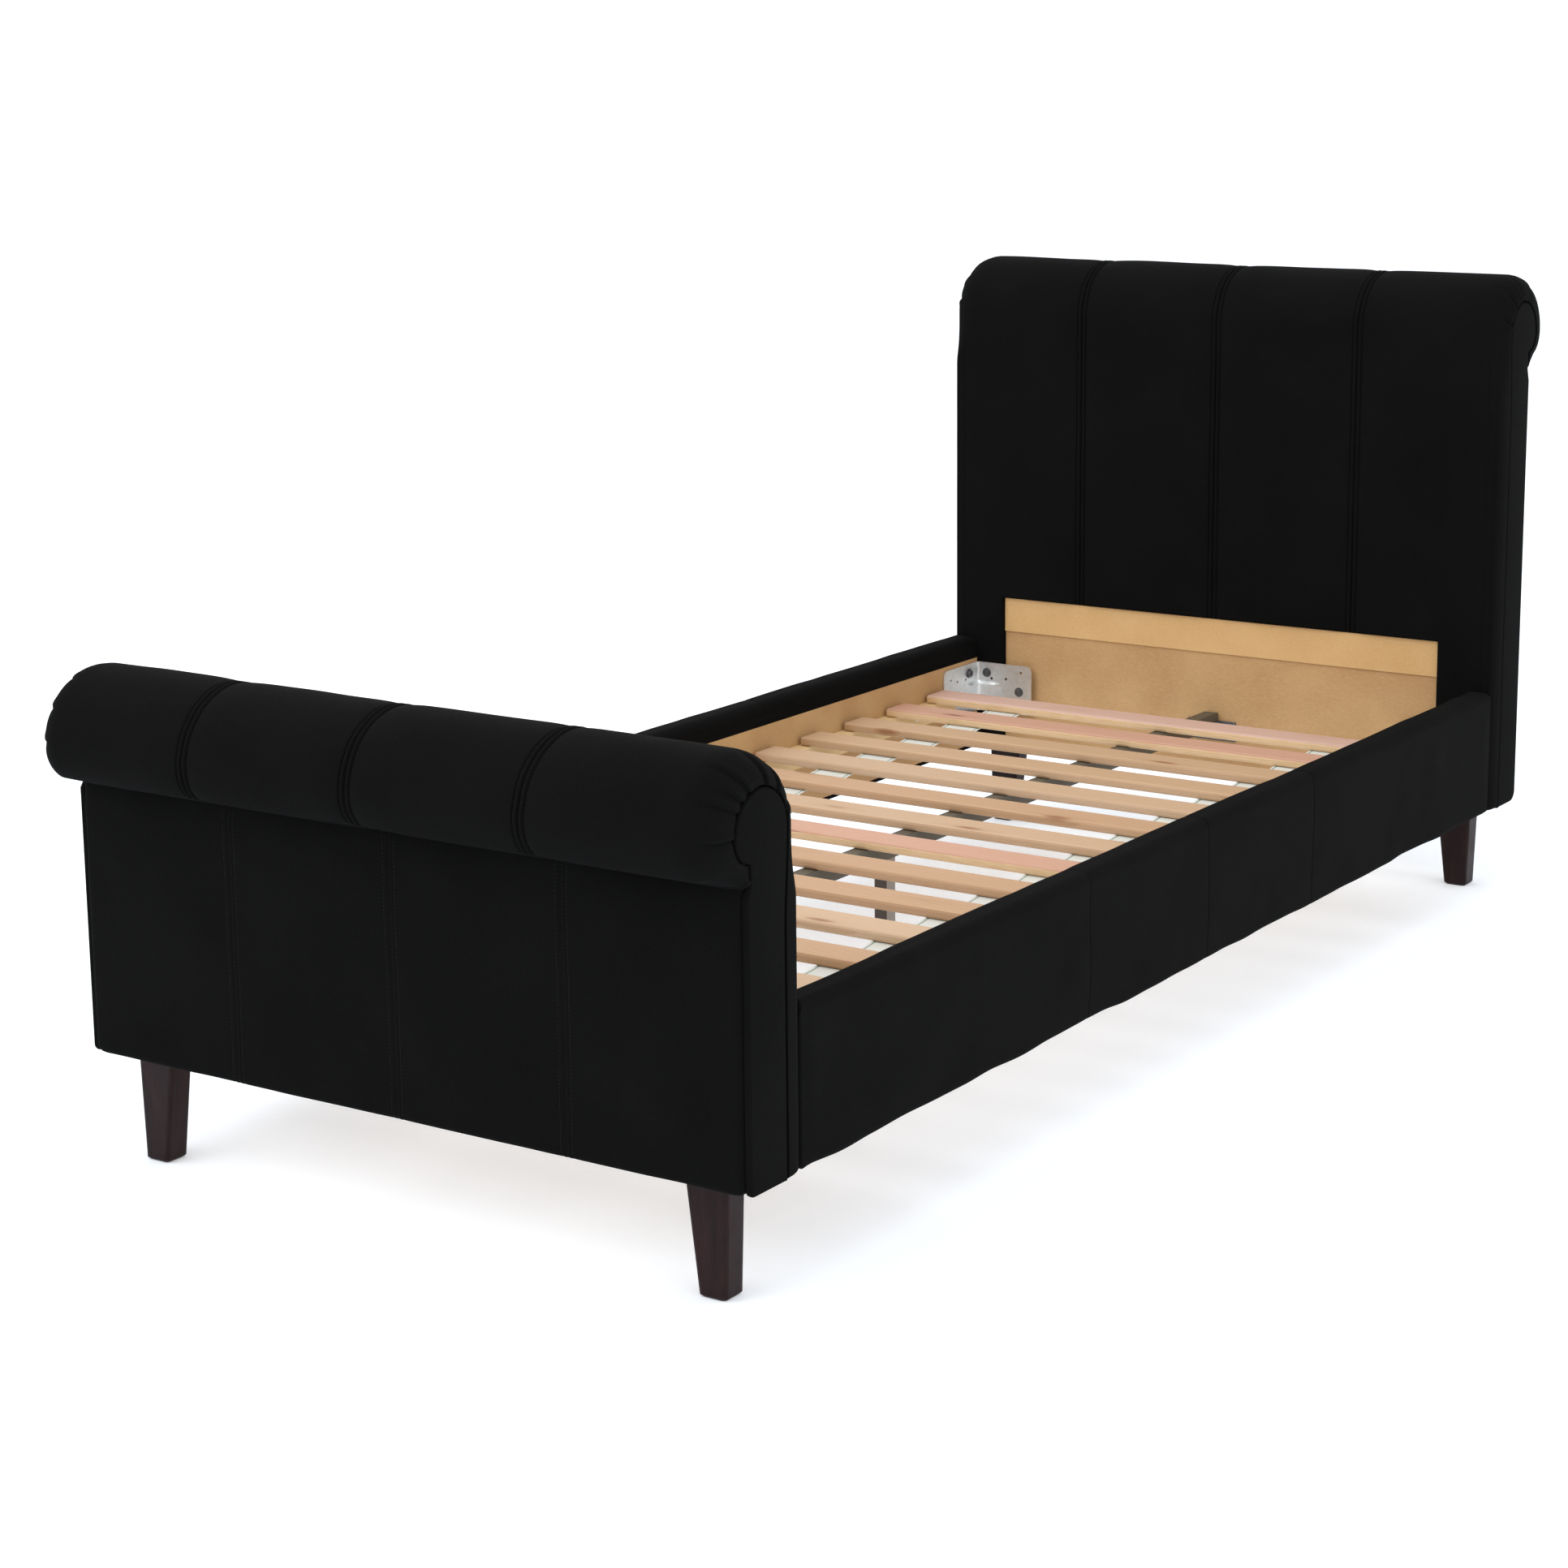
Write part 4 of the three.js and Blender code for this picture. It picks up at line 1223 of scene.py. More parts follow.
    def pleats(self, angle: np.ndarray, from_end: np.ndarray) -> np.ndarray:
        """Depth of the folds where the cloth is gathered round the scroll.

        Args:
            angle: angle about the scroll, degrees.
            from_end: distance from the bed's side, metres.

        Returns:
            How far the cloth sits below its smooth shape.
        """
        folds = ((3, 38), (35, 44), (50, 16), (67, 46), (103, 40), (130, 34), (162, 22))
        depth = np.zeros(np.broadcast(angle, from_end).shape)
        for centre, reach in (fold for fold in folds if fold[0] >= self.folds_from):
            bend = (-6 if centre > 20 else 3) * (from_end / (reach * MM)) ** 1.5
            off = angle - (centre + bend)
            fade = smooth(1 - from_end / (reach * MM))
            crease = np.where(off > 0, np.exp(-(off / 1.2) ** 2), np.exp(off / 5.0))
            lap = np.exp(-((off - 5) / 3.5) ** 2)
            depth += fade * (3.6 * MM * crease - 1.1 * MM * lap)
        return depth

    def build_cover(self) -> None:
        """Makes the padded cover of the inner face and the roll."""
        outer, inner, angle = self.section()
        on_wall, on_lip, on_hem = (angle == mark for mark in (WALL_MARK, LIP_MARK, HEM_MARK))
        half = self.half_width
        opening_x, opening_z = self.opening
        fine = [(s, 12 * MM) for s in self.seams]
        fine += [(sign * (half - self.edge_line * k), 3 * MM) for sign in (-1, 1) for k in (0.5, 1)]
        fine += [(sign * opening_x, 5 * MM) for sign in (-1, 1)]
        fine += [(sign * (half - 8 * MM), 8 * MM) for sign in (-1, 1)]
        x = stations(-half, half, 8 * MM, fine, 1.0 * MM)
        from_end = half - np.abs(x)
        along = np.concatenate([[0], np.cumsum(np.linalg.norm(np.diff(outer, axis=0), axis=1))])
        near_roll = np.where(on_wall, smooth(1 - (self.roll_z - outer[:, 1]) / self.wall_blend), 1.0)
        reach = self.wall_round + (self.end_round - self.wall_round) * near_roll
        fall = np.clip(1 - from_end[None, :] / reach[:, None], 0, 1)
        share = self.end_share + (1 - self.end_share) * np.sqrt(1 - fall ** 2)
        flat = inner[:, None, :] + (outer - inner)[:, None, :] * share[..., None]
        hem = np.where(on_hem, 1.0, np.where(on_lip, np.cumsum(on_lip) / LIP_ROWS, 0.0))
        hem_round = self.hem_round * np.where(x < 0, self.left_hem_share, 1.0)
        flat[..., 1] += np.clip(hem, 0, 1)[:, None] * edge_drop(from_end, hem_round)[None, :]
        grid = np.stack([np.broadcast_to(x, flat.shape[:2]), self.to_y(flat[..., 0]), flat[..., 1]], 2)
        normal = grid_normals(grid)
        centre_y = self.to_y(np.array(self.roll_radius))
        outward = np.stack([np.zeros(grid.shape[:2]), grid[..., 1] - centre_y,
                            np.maximum(grid[..., 2] - self.roll_z, -0.01)], 2)
        if (normal * outward)[len(outer) // 3:-60].sum() < 0:
            normal = -normal
        s, across = np.broadcast_arrays(along[:, None], x[None, :])
        low = sum(self.seam.drop(x - place) for place in self.seams)
        level = np.broadcast_to(low, s.shape) * np.broadcast_to(smooth(from_end / 0.05), s.shape)
        panel = half * 2 / self.panel_count
        phase = (x + half) / panel
        puff = self.crown * np.sin(np.pi * (phase - np.floor(phase))) ** 0.6
        pull = np.exp(-np.min([np.abs(across - p) for p in self.seams], axis=0) / 0.03)
        ripple = self.ripple * pull * soft_noise(s, across, 0.018, 0.05, self.seed + 3)
        lumps = self.lump * soft_noise(s, across, 0.11, 0.12, self.seed + 5)
        lumps = lumps + self.small_lump * soft_noise(s, across, 0.035, 0.05, self.seed + 7)
        groove_width = self.edge_groove_width
        line = sum(self.edge_groove * np.exp(-((from_end - self.edge_line * k) / groove_width) ** 2)
                   for k in (0.5, 1))
        line = line * smooth((angle[:, None] - 150) / 40)
        fade = np.clip(from_end / 0.03, 0, 1)
        folds = self.pleats(angle[:, None], np.broadcast_to(from_end, s.shape))
        raised = (puff + lumps + ripple) * fade - level - line - folds
        gap_x = np.maximum(np.abs(across) - opening_x, 0)
        gap_z = np.maximum(flat[..., 1] - opening_z, 0)
        low_wall = np.arange(len(outer))[:, None] < on_wall.sum() - 2
        to_opening = np.where(low_wall, np.hypot(gap_x, gap_z), 1)
        to_floor = np.where(on_wall[:, None], flat[..., 1] - self.underside, 1.0)
        raised = raised - edge_drop(to_opening, self.opening_round) - edge_drop(to_floor, self.floor_round)
        still = smooth(np.minimum(to_floor, 1) / 0.02) * np.where(on_hem, 0, 1)[:, None]
        raised = np.where(raised > 0, raised * still, raised)
        top = grid + normal * raised[..., None]
        under = grid - normal * self.skin
        row_low = flat[:, len(x) // 2, 1]
        cell_z = (row_low[:-1] + row_low[1:]) / 2
        cell_x = (x[:-1] + x[1:]) / 2
        wall = (cell_z[:, None] < opening_z) & on_wall[:-1, None]
        keep = ~(wall & (np.abs(cell_x)[None, :] < opening_x))
        uv = np.stack([across, s], 2)
        name = f"{self.prefix}_padded_cover"
        piece = shell(name, top, under, self.shop.palette.cloth, keep, uv)
        hand_over(piece, "black_upholstery", f"{self.prefix}_cover")
        self.sew(x, top + normal * 0.25 * MM, angle, row_low)

    def sew(self, x: np.ndarray, skin: np.ndarray, angle: np.ndarray, row_z: np.ndarray) -> None:
        """Sews the outer lines of each seam on the finished cover.

        Args:
            x: place of each column.
            skin: the cover's outer grid.
            angle: angle or mark of each row.
            row_z: height of each row.
        """
        start = int(np.argmax(row_z > self.opening[1] + 6 * MM))
        stop = int(np.argmax(angle == HEM_MARK))
        lines = []
        for place in self.seams:
            for gap in (-self.seam.line_gap, self.seam.line_gap):
                column = int(np.argmin(np.abs(x - place - gap)))
                lines.append(skin[start:stop, column])
        hand_over(self.shop.stitches(f"{self.prefix}_cover_stitching", lines), "black_upholstery")

    def build_facing(self, hand: str, sign: int) -> None:
        """Makes one flat keyhole facing with its rolled edge.

        Args:
            hand: left or right.
            sign: side of the bed, -1 or 1.
        """
        low, high = self.facing_x
        roll = arc((self.scroll_u, self.scroll_z), self.scroll_radius, np.linspace(180, 0, 61))
        tuck = arc((self.scroll_tuck_u, self.scroll_z), self.scroll_tuck,
                   np.linspace(0, SCROLL_TUCK_END, TUCK_ROWS + 1)[1:])
        neck = tuck[-1]
        band_top = self.lip_z - 0.6 * MM
        front = self.band[1]
        tip = np.array([[min(neck[0], front), band_top]])
        bend = 0.7 * self.foot_corner
        down = np.stack([np.full(40, front), np.linspace(band_top, self.underside + bend, 40)], 1)
        turn = arc((front - bend, self.underside + bend), bend, np.linspace(0, -90, 9)[1:])
        foot = np.stack([np.linspace(front - bend, self.band[0], 12), np.full(12, self.underside)], 1)[1:]
        up_z = np.linspace(self.underside, roll[0][1], 60)[1:-1]
        up = np.stack([self.edge_u(up_z), up_z], 1)
        ring = np.concatenate([roll, tuck, tip, down[1:], turn, foot, up])
        before, after = np.roll(ring, 1, 0), np.roll(ring, -1, 0)
        way = after - before
        way = way / np.linalg.norm(way, axis=1, keepdims=True)
        inward = np.stack([way[:, 1], -way[:, 0]], 1)
        deep = high - low
        steps = [(0.6 * MM, 0.0), (0.2 * MM, 0.3 * deep)]
        steps += [(3.2 * MM * (1 - math.cos(a)), deep * (0.45 + 0.55 * math.sin(a)))
                  for a in np.linspace(0, math.pi / 2, 7)]
        rings = []
        for inset, lift in steps:
            flat = ring + inward * inset
            rings.append(np.stack([np.full(len(flat), sign * (low + lift)), self.to_y(flat[:, 0]),
                                   flat[:, 1]], 1))
        grid = np.stack(rings, 1)
        uv = grid[..., 1:].copy()
        piece = prism(f"{self.prefix}_scroll_end_{hand}", grid, self.shop.palette.cloth, uv)
        hand_over(piece, "black_upholstery", f"{self.prefix}_scroll_facing_{hand}")

    def build_outer_panel(self) -> None:
        """Makes the flat padded panel of the outer face."""
        low, high = self.pad
        half = high[0]
        thick = high[1] - low[1]
        fine = [(s, 12 * MM) for s in self.seams] + [(sign * (half - 4 * MM), 4 * MM) for sign in (-1, 1)]
        x = stations(-half, half, 8 * MM, fine, 1.2 * MM)
        z = stations(low[2], high[2], 7 * MM, [(low[2] + 5 * MM, 5 * MM), (high[2] - 3 * MM, 3 * MM)],
                     1.5 * MM)
        across, up = np.meshgrid(x, z)
        corner = self.foot_corner
        dx = np.maximum(np.abs(across) - (half - corner), 0)
        dz = np.maximum((low[2] + corner) - up, 0)
        far = np.maximum(np.hypot(dx, dz), 1e-9)
        pull = np.where((dx > 0) & (dz > 0), np.maximum(dx, dz) / far, 1.0)
        px = np.sign(across) * (np.where(dx > 0, half - corner + dx * pull, np.abs(across)))
        pz = np.where(dz > 0, low[2] + corner - dz * pull, up)
        border = np.minimum.reduce([half - np.abs(across), up - low[2],
                                    np.where(pull < 1, corner - np.maximum(dx, dz), 1)])
        seam = sum(self.panel_seam_share * self.seam.drop(across - place) for place in self.seams)
        lumps = self.panel_lump * soft_noise(across, up, 0.14, 0.12, self.seed + 11)
        lumps = lumps + self.panel_small_lump * soft_noise(across, up, 0.04, 0.05, self.seed + 13)
        rise = self.panel_rise + lumps - seam - edge_drop(border, self.panel_round)
        rise = rise - self.panel_tuck * np.exp(-(high[2] - up) / 0.01)
        wave = self.panel_wave * soft_noise(across, up * 0, 0.09, 0.1, self.seed + 17)
        wave = wave * np.exp(-(up - low[2]) / 0.02)
        face_y = self.to_y(self.outer_u + rise)
        back_y = np.full_like(face_y, float(self.to_y(np.array(self.outer_u - thick))))
        front = np.stack([px, face_y, pz + np.maximum(wave, 0)], 2)
        back = np.stack([px, back_y, pz], 2)
        piece = shell(f"{self.prefix}_outer_panel", front, back, self.shop.palette.cloth,
                      uv=np.stack([across, up], 2))
        hand_over(piece, "black_upholstery", f"{self.prefix}_outer_pad")
        lines = []
        for place in self.seams:
            for gap in (-self.seam.line_gap, self.seam.line_gap):
                column = int(np.argmin(np.abs(x - place - gap)))
                lines.append(front[6:-4, column] + (0, self.side * 0.2 * MM, 0))
        hand_over(self.shop.stitches(f"{self.prefix}_outer_stitching", lines), "black_upholstery")

    def dress(self) -> None:
        """Gives this end's boards and timber their finishes."""
        palette = self.shop.palette
        keep_node(f"{self.prefix}_lining_board", palette.board)
        keep_node(f"{self.prefix}_outer_board", palette.board)
        keep_node(f"{self.prefix}_lining_batten", palette.batten)
        for part in ("top_rail", "fixing_rail", "bottom_rail"):
            keep_node(f"{self.prefix}_{part}", palette.frame_pine)
        for hand in ("left", "right"):
            keep_node(f"{self.prefix}_end_board_{hand}", palette.upright_pine)

    def build(self) -> None:
        """Builds and dresses this end."""
        self.build_cover()
        self.build_facing("left", -1)
        self.build_facing("right", 1)
        self.build_outer_panel()
        self.dress()


# ---------------------------------------------------------------- side rails
@dataclass
class SideRails:
    """The two padded side rails with their inner boards and slat ledgers."""

    shop: Workshop
    top_round: float = 12 * MM
    low_round: float = 6 * MM
    end_round: float = 24 * MM
    top_flange: float = 39 * MM
    inner_round: float = 16 * MM
    low_flange: float = 6 * MM
    board: float = 18.3 * MM
    seams: tuple[float, ...] = (-0.338, 0.0, 0.338)
    tail_points: int = 5  # of the section, behind the board
    screw_count: int = 7  # along each ledger
    seam_groove: float = 0.8 * MM
    seam_groove_width: float = 1.4 * MM
    seam_dip: float = 0.5 * MM
    seam_dip_reach: float = 14 * MM
    lump: float = 1.3 * MM
    small_lump: float = 0.6 * MM
    edge_wave: float = 2.4 * MM  # of the lower edge
    puff: float = 2.2 * MM

    def section(self, inner: float, outer: float, low: float, high: float) -> np.ndarray:
        """The pad's closed section, hooked over and under its board.

        Args:
            inner: distance of its inner side from the bed's middle.
            outer: distance of its outer side.
            low: its underside.
            high: its top.

        Returns:
            Ring of points in x and z, the last five of them behind the board.
        """
        step = 6 * MM
        over = arc((outer - self.top_round, high - self.top_round), self.top_round, np.linspace(90, 0, 9))
        down_z = np.linspace(high - self.top_round, low + self.low_round,
                             round((high - low) / step))[1:-1]
        down = np.stack([np.full_like(down_z, outer), down_z], 1)
        turn = arc((outer - self.low_round, low + self.low_round), self.low_round, np.linspace(0, -90, 6))
        bend = self.inner_round
        edge = arc((inner + bend, high - bend), bend, np.linspace(180, 90, 11))
        flat_x = np.linspace(inner + bend, outer - self.top_round, 5)[1:-1]
        flat = np.stack([flat_x, np.full_like(flat_x, high)], 1)
        tail = np.array([[inner, low], [inner, low + self.low_flange],
                         [inner + self.board, low + self.low_flange],
                         [inner + self.board, high - self.top_flange], [inner, high - self.top_flange]])
        return np.concatenate([edge, flat, over, down, turn, tail])

    def build_pad(self, hand: str, sign: int) -> None:
        """Makes one rail's padded cover.

        Args:
            hand: left or right.
            sign: side of the bed, -1 or 1.
        """
        low, high = (np.array(c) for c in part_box(f"side_rail_pad_{hand}"))
        inner, outer = sorted((abs(low[0]), abs(high[0])))
        ring = self.section(inner, outer, low[2], high[2])
        fine = [(s, 7 * MM) for s in self.seams] + [(e, 9 * MM) for e in (low[1] + 9 * MM, high[1] - 9 * MM)]
        y = stations(low[1], high[1], 9 * MM, fine, 1.2 * MM)
        way = np.roll(ring, -1, 0) - np.roll(ring, 1, 0)
        way = way / np.maximum(np.linalg.norm(way, axis=1, keepdims=True), 1e-9)
        out = np.stack([-way[:, 1], way[:, 0]], 1)
        tail = np.arange(len(ring)) >= len(ring) - self.tail_points
        out[tail] = 0
        around = np.concatenate([[0], np.cumsum(np.linalg.norm(np.diff(ring, axis=0), axis=1))])
        s, along = np.meshgrid(around, y, indexing="ij")
        from_end = np.minimum(y - low[1], high[1] - y)
        seam = sum(self.seam_groove * np.exp(-((y - p) / self.seam_groove_width) ** 2)
                   + self.seam_dip * np.exp(-np.abs(y - p) / self.seam_dip_reach) for p in self.seams)
        lumps = self.lump * soft_noise(along, s, 0.17, 0.08, 31 + sign)
        lumps = lumps + self.small_lump * soft_noise(along, s, 0.05, 0.05, 37 + sign)
        edge_wave = self.edge_wave * soft_noise(along, s * 0, 0.07, 0.04, 41 + sign)
        z_share = (ring[:, 1] - low[2]) / (high[2] - low[2])
        face = np.where(ring[:, 0] > outer - 1e-6, np.sin(np.pi * np.clip(z_share, 0, 1)) ** 0.5, 0)
        rise = self.puff * face[:, None] + lumps - seam + edge_wave * np.exp(-z_share / 0.06)[:, None]
        rise = rise * smooth(from_end / 0.03) - edge_drop(from_end, 4 * MM)
        rise[tail] = 0
        flat = ring[:, None, :] + out[:, None, :] * rise[..., None]
        lowest = low[2] - 1.5 * MM + edge_drop(from_end, self.end_round * 0.6)
        highest = high[2] + 3 * MM - edge_drop(from_end, self.end_round)
        grid = np.stack([sign * flat[..., 0], along, np.clip(flat[..., 1], lowest, highest)], 2)
        piece = prism(f"side_rail_cover_{hand}", grid, self.shop.palette.cloth,
                      np.stack([along, s], 2))
        hand_over(piece, "black_upholstery", f"side_rail_pad_{hand}")

    def build(self) -> None:
        """Builds both rails and dresses their boards."""
        for hand, sign in (("left", -1), ("right", 1)):
            self.build_pad(hand, sign)
            keep_node(f"side_rail_board_{hand}", self.shop.palette.board)
            keep_node(f"slat_ledger_{hand}", self.shop.palette.ledger)
            low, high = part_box(f"slat_ledger_{hand}")
            face = low[0] if sign > 0 else high[0]
            count = self.screw_count
            places = [((face, low[1] + (high[1] - low[1]) * (k + 0.5) / count, (low[2] + high[2]) / 2),
                       (-sign, 0, 0)) for k in range(count)]
            screws = self.shop.heads(f"ledger_screws_{hand}", self.shop.screws, places, 4 * MM, 1.2 * MM,
                                     self.shop.palette.zinc)
            hand_over(screws, "zinc_steel")


# ---------------------------------------------------------------- slatted base
@dataclass
class SlattedBase:
    """Pine slats held together by two bands of webbing stapled under them."""

    shop: Workshop
    count: int = 14
    red: tuple[int, ...] = (1, 2, 8)
    sag: float = 2.5 * MM
    cloth: float = 1.1 * MM
    half_slat: float = 30 * MM
    columns: int = 15  # of the webbing's grid

    def dress_slats(self) -> None:
        """Gives each slat one of the pine finishes."""
        palette = self.shop.palette
        order = np.random.default_rng(8).permutation(self.count)
        for number in range(1, self.count + 1):
            choice = palette.red_pine if number in self.red else palette.pine
            keep_node(f"slat_{number:02d}", choice[int(order[number - 1]) % len(choice)])

    def build_webbing(self, hand: str) -> None:
        """Makes one band of webbing, dipping a little between slats.

        Args:
            hand: left or right.
        """
        low, high = (np.array(c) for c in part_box(f"slat_webbing_{hand}"))
        centres = sorted((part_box(f"slat_{n:02d}")[0][1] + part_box(f"slat_{n:02d}")[1][1]) / 2
                         for n in range(1, self.count + 1))
        y = stations(low[1], high[1], 6 * MM)
        x = np.linspace(low[0], high[0], self.columns)
        across, along = np.meshgrid(x, y)
        pitch = (centres[-1] - centres[0]) / (self.count - 1)
        phase = (along - centres[0]) / pitch
        off = np.abs(phase - np.round(phase)) * pitch
        free = np.clip((off - self.half_slat) / (pitch / 2 - self.half_slat), 0, 1)
        dip = self.sag * (1 - (1 - free) ** 2) * np.where((along > centres[0]) & (along < centres[-1]), 1, 0)
        dip = dip * (1 + 0.3 * soft_noise(along, across, 0.13, 0.05, 53))
        curl = 0.5 * MM * soft_noise(along, across, 0.07, 0.03, 57) * free
        z = high[2] - dip - np.abs(curl)
        top = np.stack([across, along, z], 2)
        under = top - (0, 0, self.cloth)
        uv = np.stack([across - low[0], along], 2)
        piece = shell(f"webbing_band_{hand}", top, under, self.shop.palette.webbing, uv=uv)
        hand_over(piece, "white_webbing", f"slat_webbing_{hand}")

    def build(self) -> None:
        """Builds the base."""
        self.dress_slats()
        for hand in ("left", "right"):
            self.build_webbing(hand)


# ---------------------------------------------------------------- ironwork
def drill(piece: Object, holes: Sequence[tuple[tuple, Axis]], radius: float, depth: float) -> None:
    """Drills round holes through a piece.

    Args:
        piece: closed mesh object.
        holes: (centre, direction) of each hole.
        radius: hole radius.
        depth: length of the drill.
    """
    cutter_mesh = bpy.data.meshes.new("drill")
    work = bmesh.new()
    turns = {Axis.X: Matrix.Rotation(math.pi / 2, 4, "Y"), Axis.Y: Matrix.Rotation(math.pi / 2, 4, "X"),
             Axis.Z: Matrix.Identity(4)}
    for centre, axis in holes:
        bmesh.ops.create_cone(work, cap_ends=True, segments=12, radius1=radius, radius2=radius,
                              depth=depth, matrix=Matrix.Translation(centre) @ turns[axis])
    work.to_mesh(cutter_mesh)
    work.free()
    cutter = bpy.data.objects.new("drill", cutter_mesh)
    bpy.context.scene.collection.objects.link(cutter)
    modifier = piece.modifiers.new("drill", "BOOLEAN")
    modifier.object = cutter
    modifier.solver = "EXACT"
    bpy.context.view_layer.update()
    mesh = bpy.data.meshes.new_from_object(piece.evaluated_get(bpy.context.evaluated_depsgraph_get()))
    piece.modifiers.remove(modifier)
    piece.data = mesh
    bpy.data.objects.remove(cutter)


@dataclass
class CornerBrackets:
    """Four pressed angle plates that hook the side rails to the ends, with their socket bolts."""

    shop: Workshop
    steel: float = 3 * MM
    bend: float = 6 * MM
    corner: float = 10 * MM
    gusset: float = 8 * MM
    gusset_reach: float = 50 * MM
    gusset_rise: float = 49 * MM
    gusset_crest: float = 4.5 * MM
    gusset_fall: float = 26 * MM
    hole_radius: float = 2.4 * MM
    drill_depth: float = 30 * MM
    bolt_radius: float = 6 * MM
    bolt_height: float = 5.5 * MM
    end_bolts: tuple[tuple[float, float], ...] = ((0.2, 0.79), (0.81, 0.46))
    rail_bolts: tuple[tuple[float, float], ...] = ((0.3, 0.81), (0.8, 0.3))
    end_holes: tuple[tuple[float, float], ...] = ((0.29, 0.68), (0.565, 0.7), (0.85, 0.86))
    rail_holes: tuple[tuple[float, float], ...] = ((0.39, 0.7), (0.64, 0.71), (0.83, 0.78))

    def plate(self, end: str, hand: str, sign_x: int, sign_y: int) -> None:
        """Makes one bracket and its bolts.

        Args:
            end: foot or head.
            hand: left or right.
            sign_x: side of the bed, -1 or 1.
            sign_y: end of the bed, -1 or 1.
        """
        node = f"corner_bracket_{end}_{hand}"
        low, high = (np.array(c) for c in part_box(node))
        corner_x = max(abs(low[0]), abs(high[0]))
        corner_y = max(abs(low[1]), abs(high[1]))
        head_leg = high[0] - low[0]
        rail_leg = high[1] - low[1]
        bottom, top = low[2], high[2]
        d = stations(-head_leg, rail_leg, 2.6 * MM, [(0.0, 12 * MM)], 1.5 * MM)
        z = stations(bottom, top, 2.6 * MM)
        run, up = np.meshgrid(d, z)
        mid = (bottom + top) / 2
        half = (top - bottom) / 2
        pz, pd = up - mid, run.copy()
        for end_d in (-head_leg, rail_leg):
            sign = math.copysign(1, end_d)
            dd = np.maximum(sign * run - (abs(end_d) - self.corner), 0)
            dz = np.maximum(np.abs(up - mid) - (half - self.corner), 0)
            both = (dd > 0) & (dz > 0)
            pull = np.where(both, np.maximum(dd, dz) / np.maximum(np.hypot(dd, dz), 1e-9), 1.0)
            pd = np.where(both, sign * (abs(end_d) - self.corner + dd * pull), pd)
            pz = np.where(both, np.sign(up - mid) * (half - self.corner + dz * pull), pz)
        share = np.maximum(1 - np.abs(run) / self.gusset_reach, 0)
        above = up - bottom - self.gusset_rise
        slope = np.where(above > 0, above / self.gusset_crest,
                         -above / (self.gusset_fall * (0.3 + 0.7 * share)))
        boss = self.gusset * np.minimum(share * 1.3, 1) * np.clip(1 - slope, 0, 1)
        quarter = math.pi / 2 * self.bend / 2
        turn = np.clip(pd / (2 * quarter) + 0.5, 0, 1) * math.pi / 2

        def bent(depth: float) -> np.ndarray:
            """The plate's grid.

            Args:
                depth: distance behind its inner face.

            Returns:
                Rows by columns by three.
            """
            radius = self.bend + depth
            centre = self.bend + self.steel
            run_head = np.maximum(-pd - quarter, 0)
            run_rail = np.maximum(pd - quarter, 0)
            from_rail = centre - radius * np.sin(turn) + run_head
            from_end = centre - radius * np.cos(turn) + run_rail
            x = sign_x * (corner_x - from_rail - boss * 0.7)
            y = sign_y * (corner_y - from_end - boss * 0.7)
            return np.stack([x, y, pz + mid], 2)

        piece = shell(f"angle_plate_{end}_{hand}", bent(0.0), bent(self.steel), self.shop.palette.zinc)
        holes = [((sign_x * (corner_x - head_leg * along), sign_y * corner_y,
                   bottom + (top - bottom) * rise), Axis.Y) for along, rise in self.end_holes]
        holes += [((sign_x * corner_x, sign_y * (corner_y - rail_leg * along),
                    bottom + (top - bottom) * rise), Axis.X) for along, rise in self.rail_holes]
        drill(piece, holes, self.hole_radius, self.drill_depth)
        hand_over(piece, "zinc_steel", node)
        places = []
        for along, rise in self.end_bolts:
            places.append(((sign_x * (corner_x - head_leg * along), sign_y * (corner_y - self.steel),
                            bottom + (top - bottom) * rise), (0, -sign_y, 0)))
        for along, rise in self.rail_bolts:
            places.append(((sign_x * (corner_x - self.steel), sign_y * (corner_y - rail_leg * along),
                            bottom + (top - bottom) * rise), (-sign_x, 0, 0)))
        heads = self.shop.heads(f"bracket_bolts_{end}_{hand}", self.shop.bolts, places, self.bolt_radius,
                                self.bolt_height, self.shop.palette.bolt)
        hand_over(heads, "grey_steel")

    def build(self) -> None:
        """Builds all four."""
        for end, sign_y in (("foot", -1), ("head", 1)):
            for hand, sign_x in (("left", -1), ("right", 1)):
                self.plate(end, hand, sign_x, sign_y)


@dataclass
class CentreRail:
    """The steel centre rail with its end brackets and its leg."""

    shop: Workshop
    plate: float = 2.5 * MM
    screw_x: float = 36 * MM
    screw_rise: float = 12 * MM
    screw_radius: float = 4 * MM
    screw_height: float = 1.6 * MM

    def build(self) -> None:
        """Dresses the steel and adds the bracket screws."""
        palette = self.shop.palette
        keep_node("centre_rail", palette.rail_steel)
        keep_node("centre_leg", palette.leg_steel)
        keep_node("centre_leg_foot", palette.plastic)
        for end, sign_y in (("foot", -1), ("head", 1)):
            keep_node(f"centre_rail_bracket_{end}", palette.grey_steel)
            low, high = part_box(f"centre_rail_bracket_{end}")
            plate_y = sign_y * (max(abs(low[1]), abs(high[1])) - self.plate)
            places = [((side * self.screw_x, plate_y, (low[2] + high[2]) / 2 + self.screw_rise),
                       (0, -sign_y, 0)) for side in (-1, 1)]
            screws = self.shop.heads(f"centre_bracket_screws_{end}", self.shop.screws, places,
                                     self.screw_radius, self.screw_height, palette.bolt)
            hand_over(screws, "grey_steel")


@dataclass
class Legs:
    """The four tapered timber legs."""

    shop: Workshop

    def build(self) -> None:
        """Dresses the legs."""
        for end in ("foot", "head"):
            for hand in ("left", "right"):
                keep_node(f"leg_{end}_{hand}", self.shop.palette.leg)


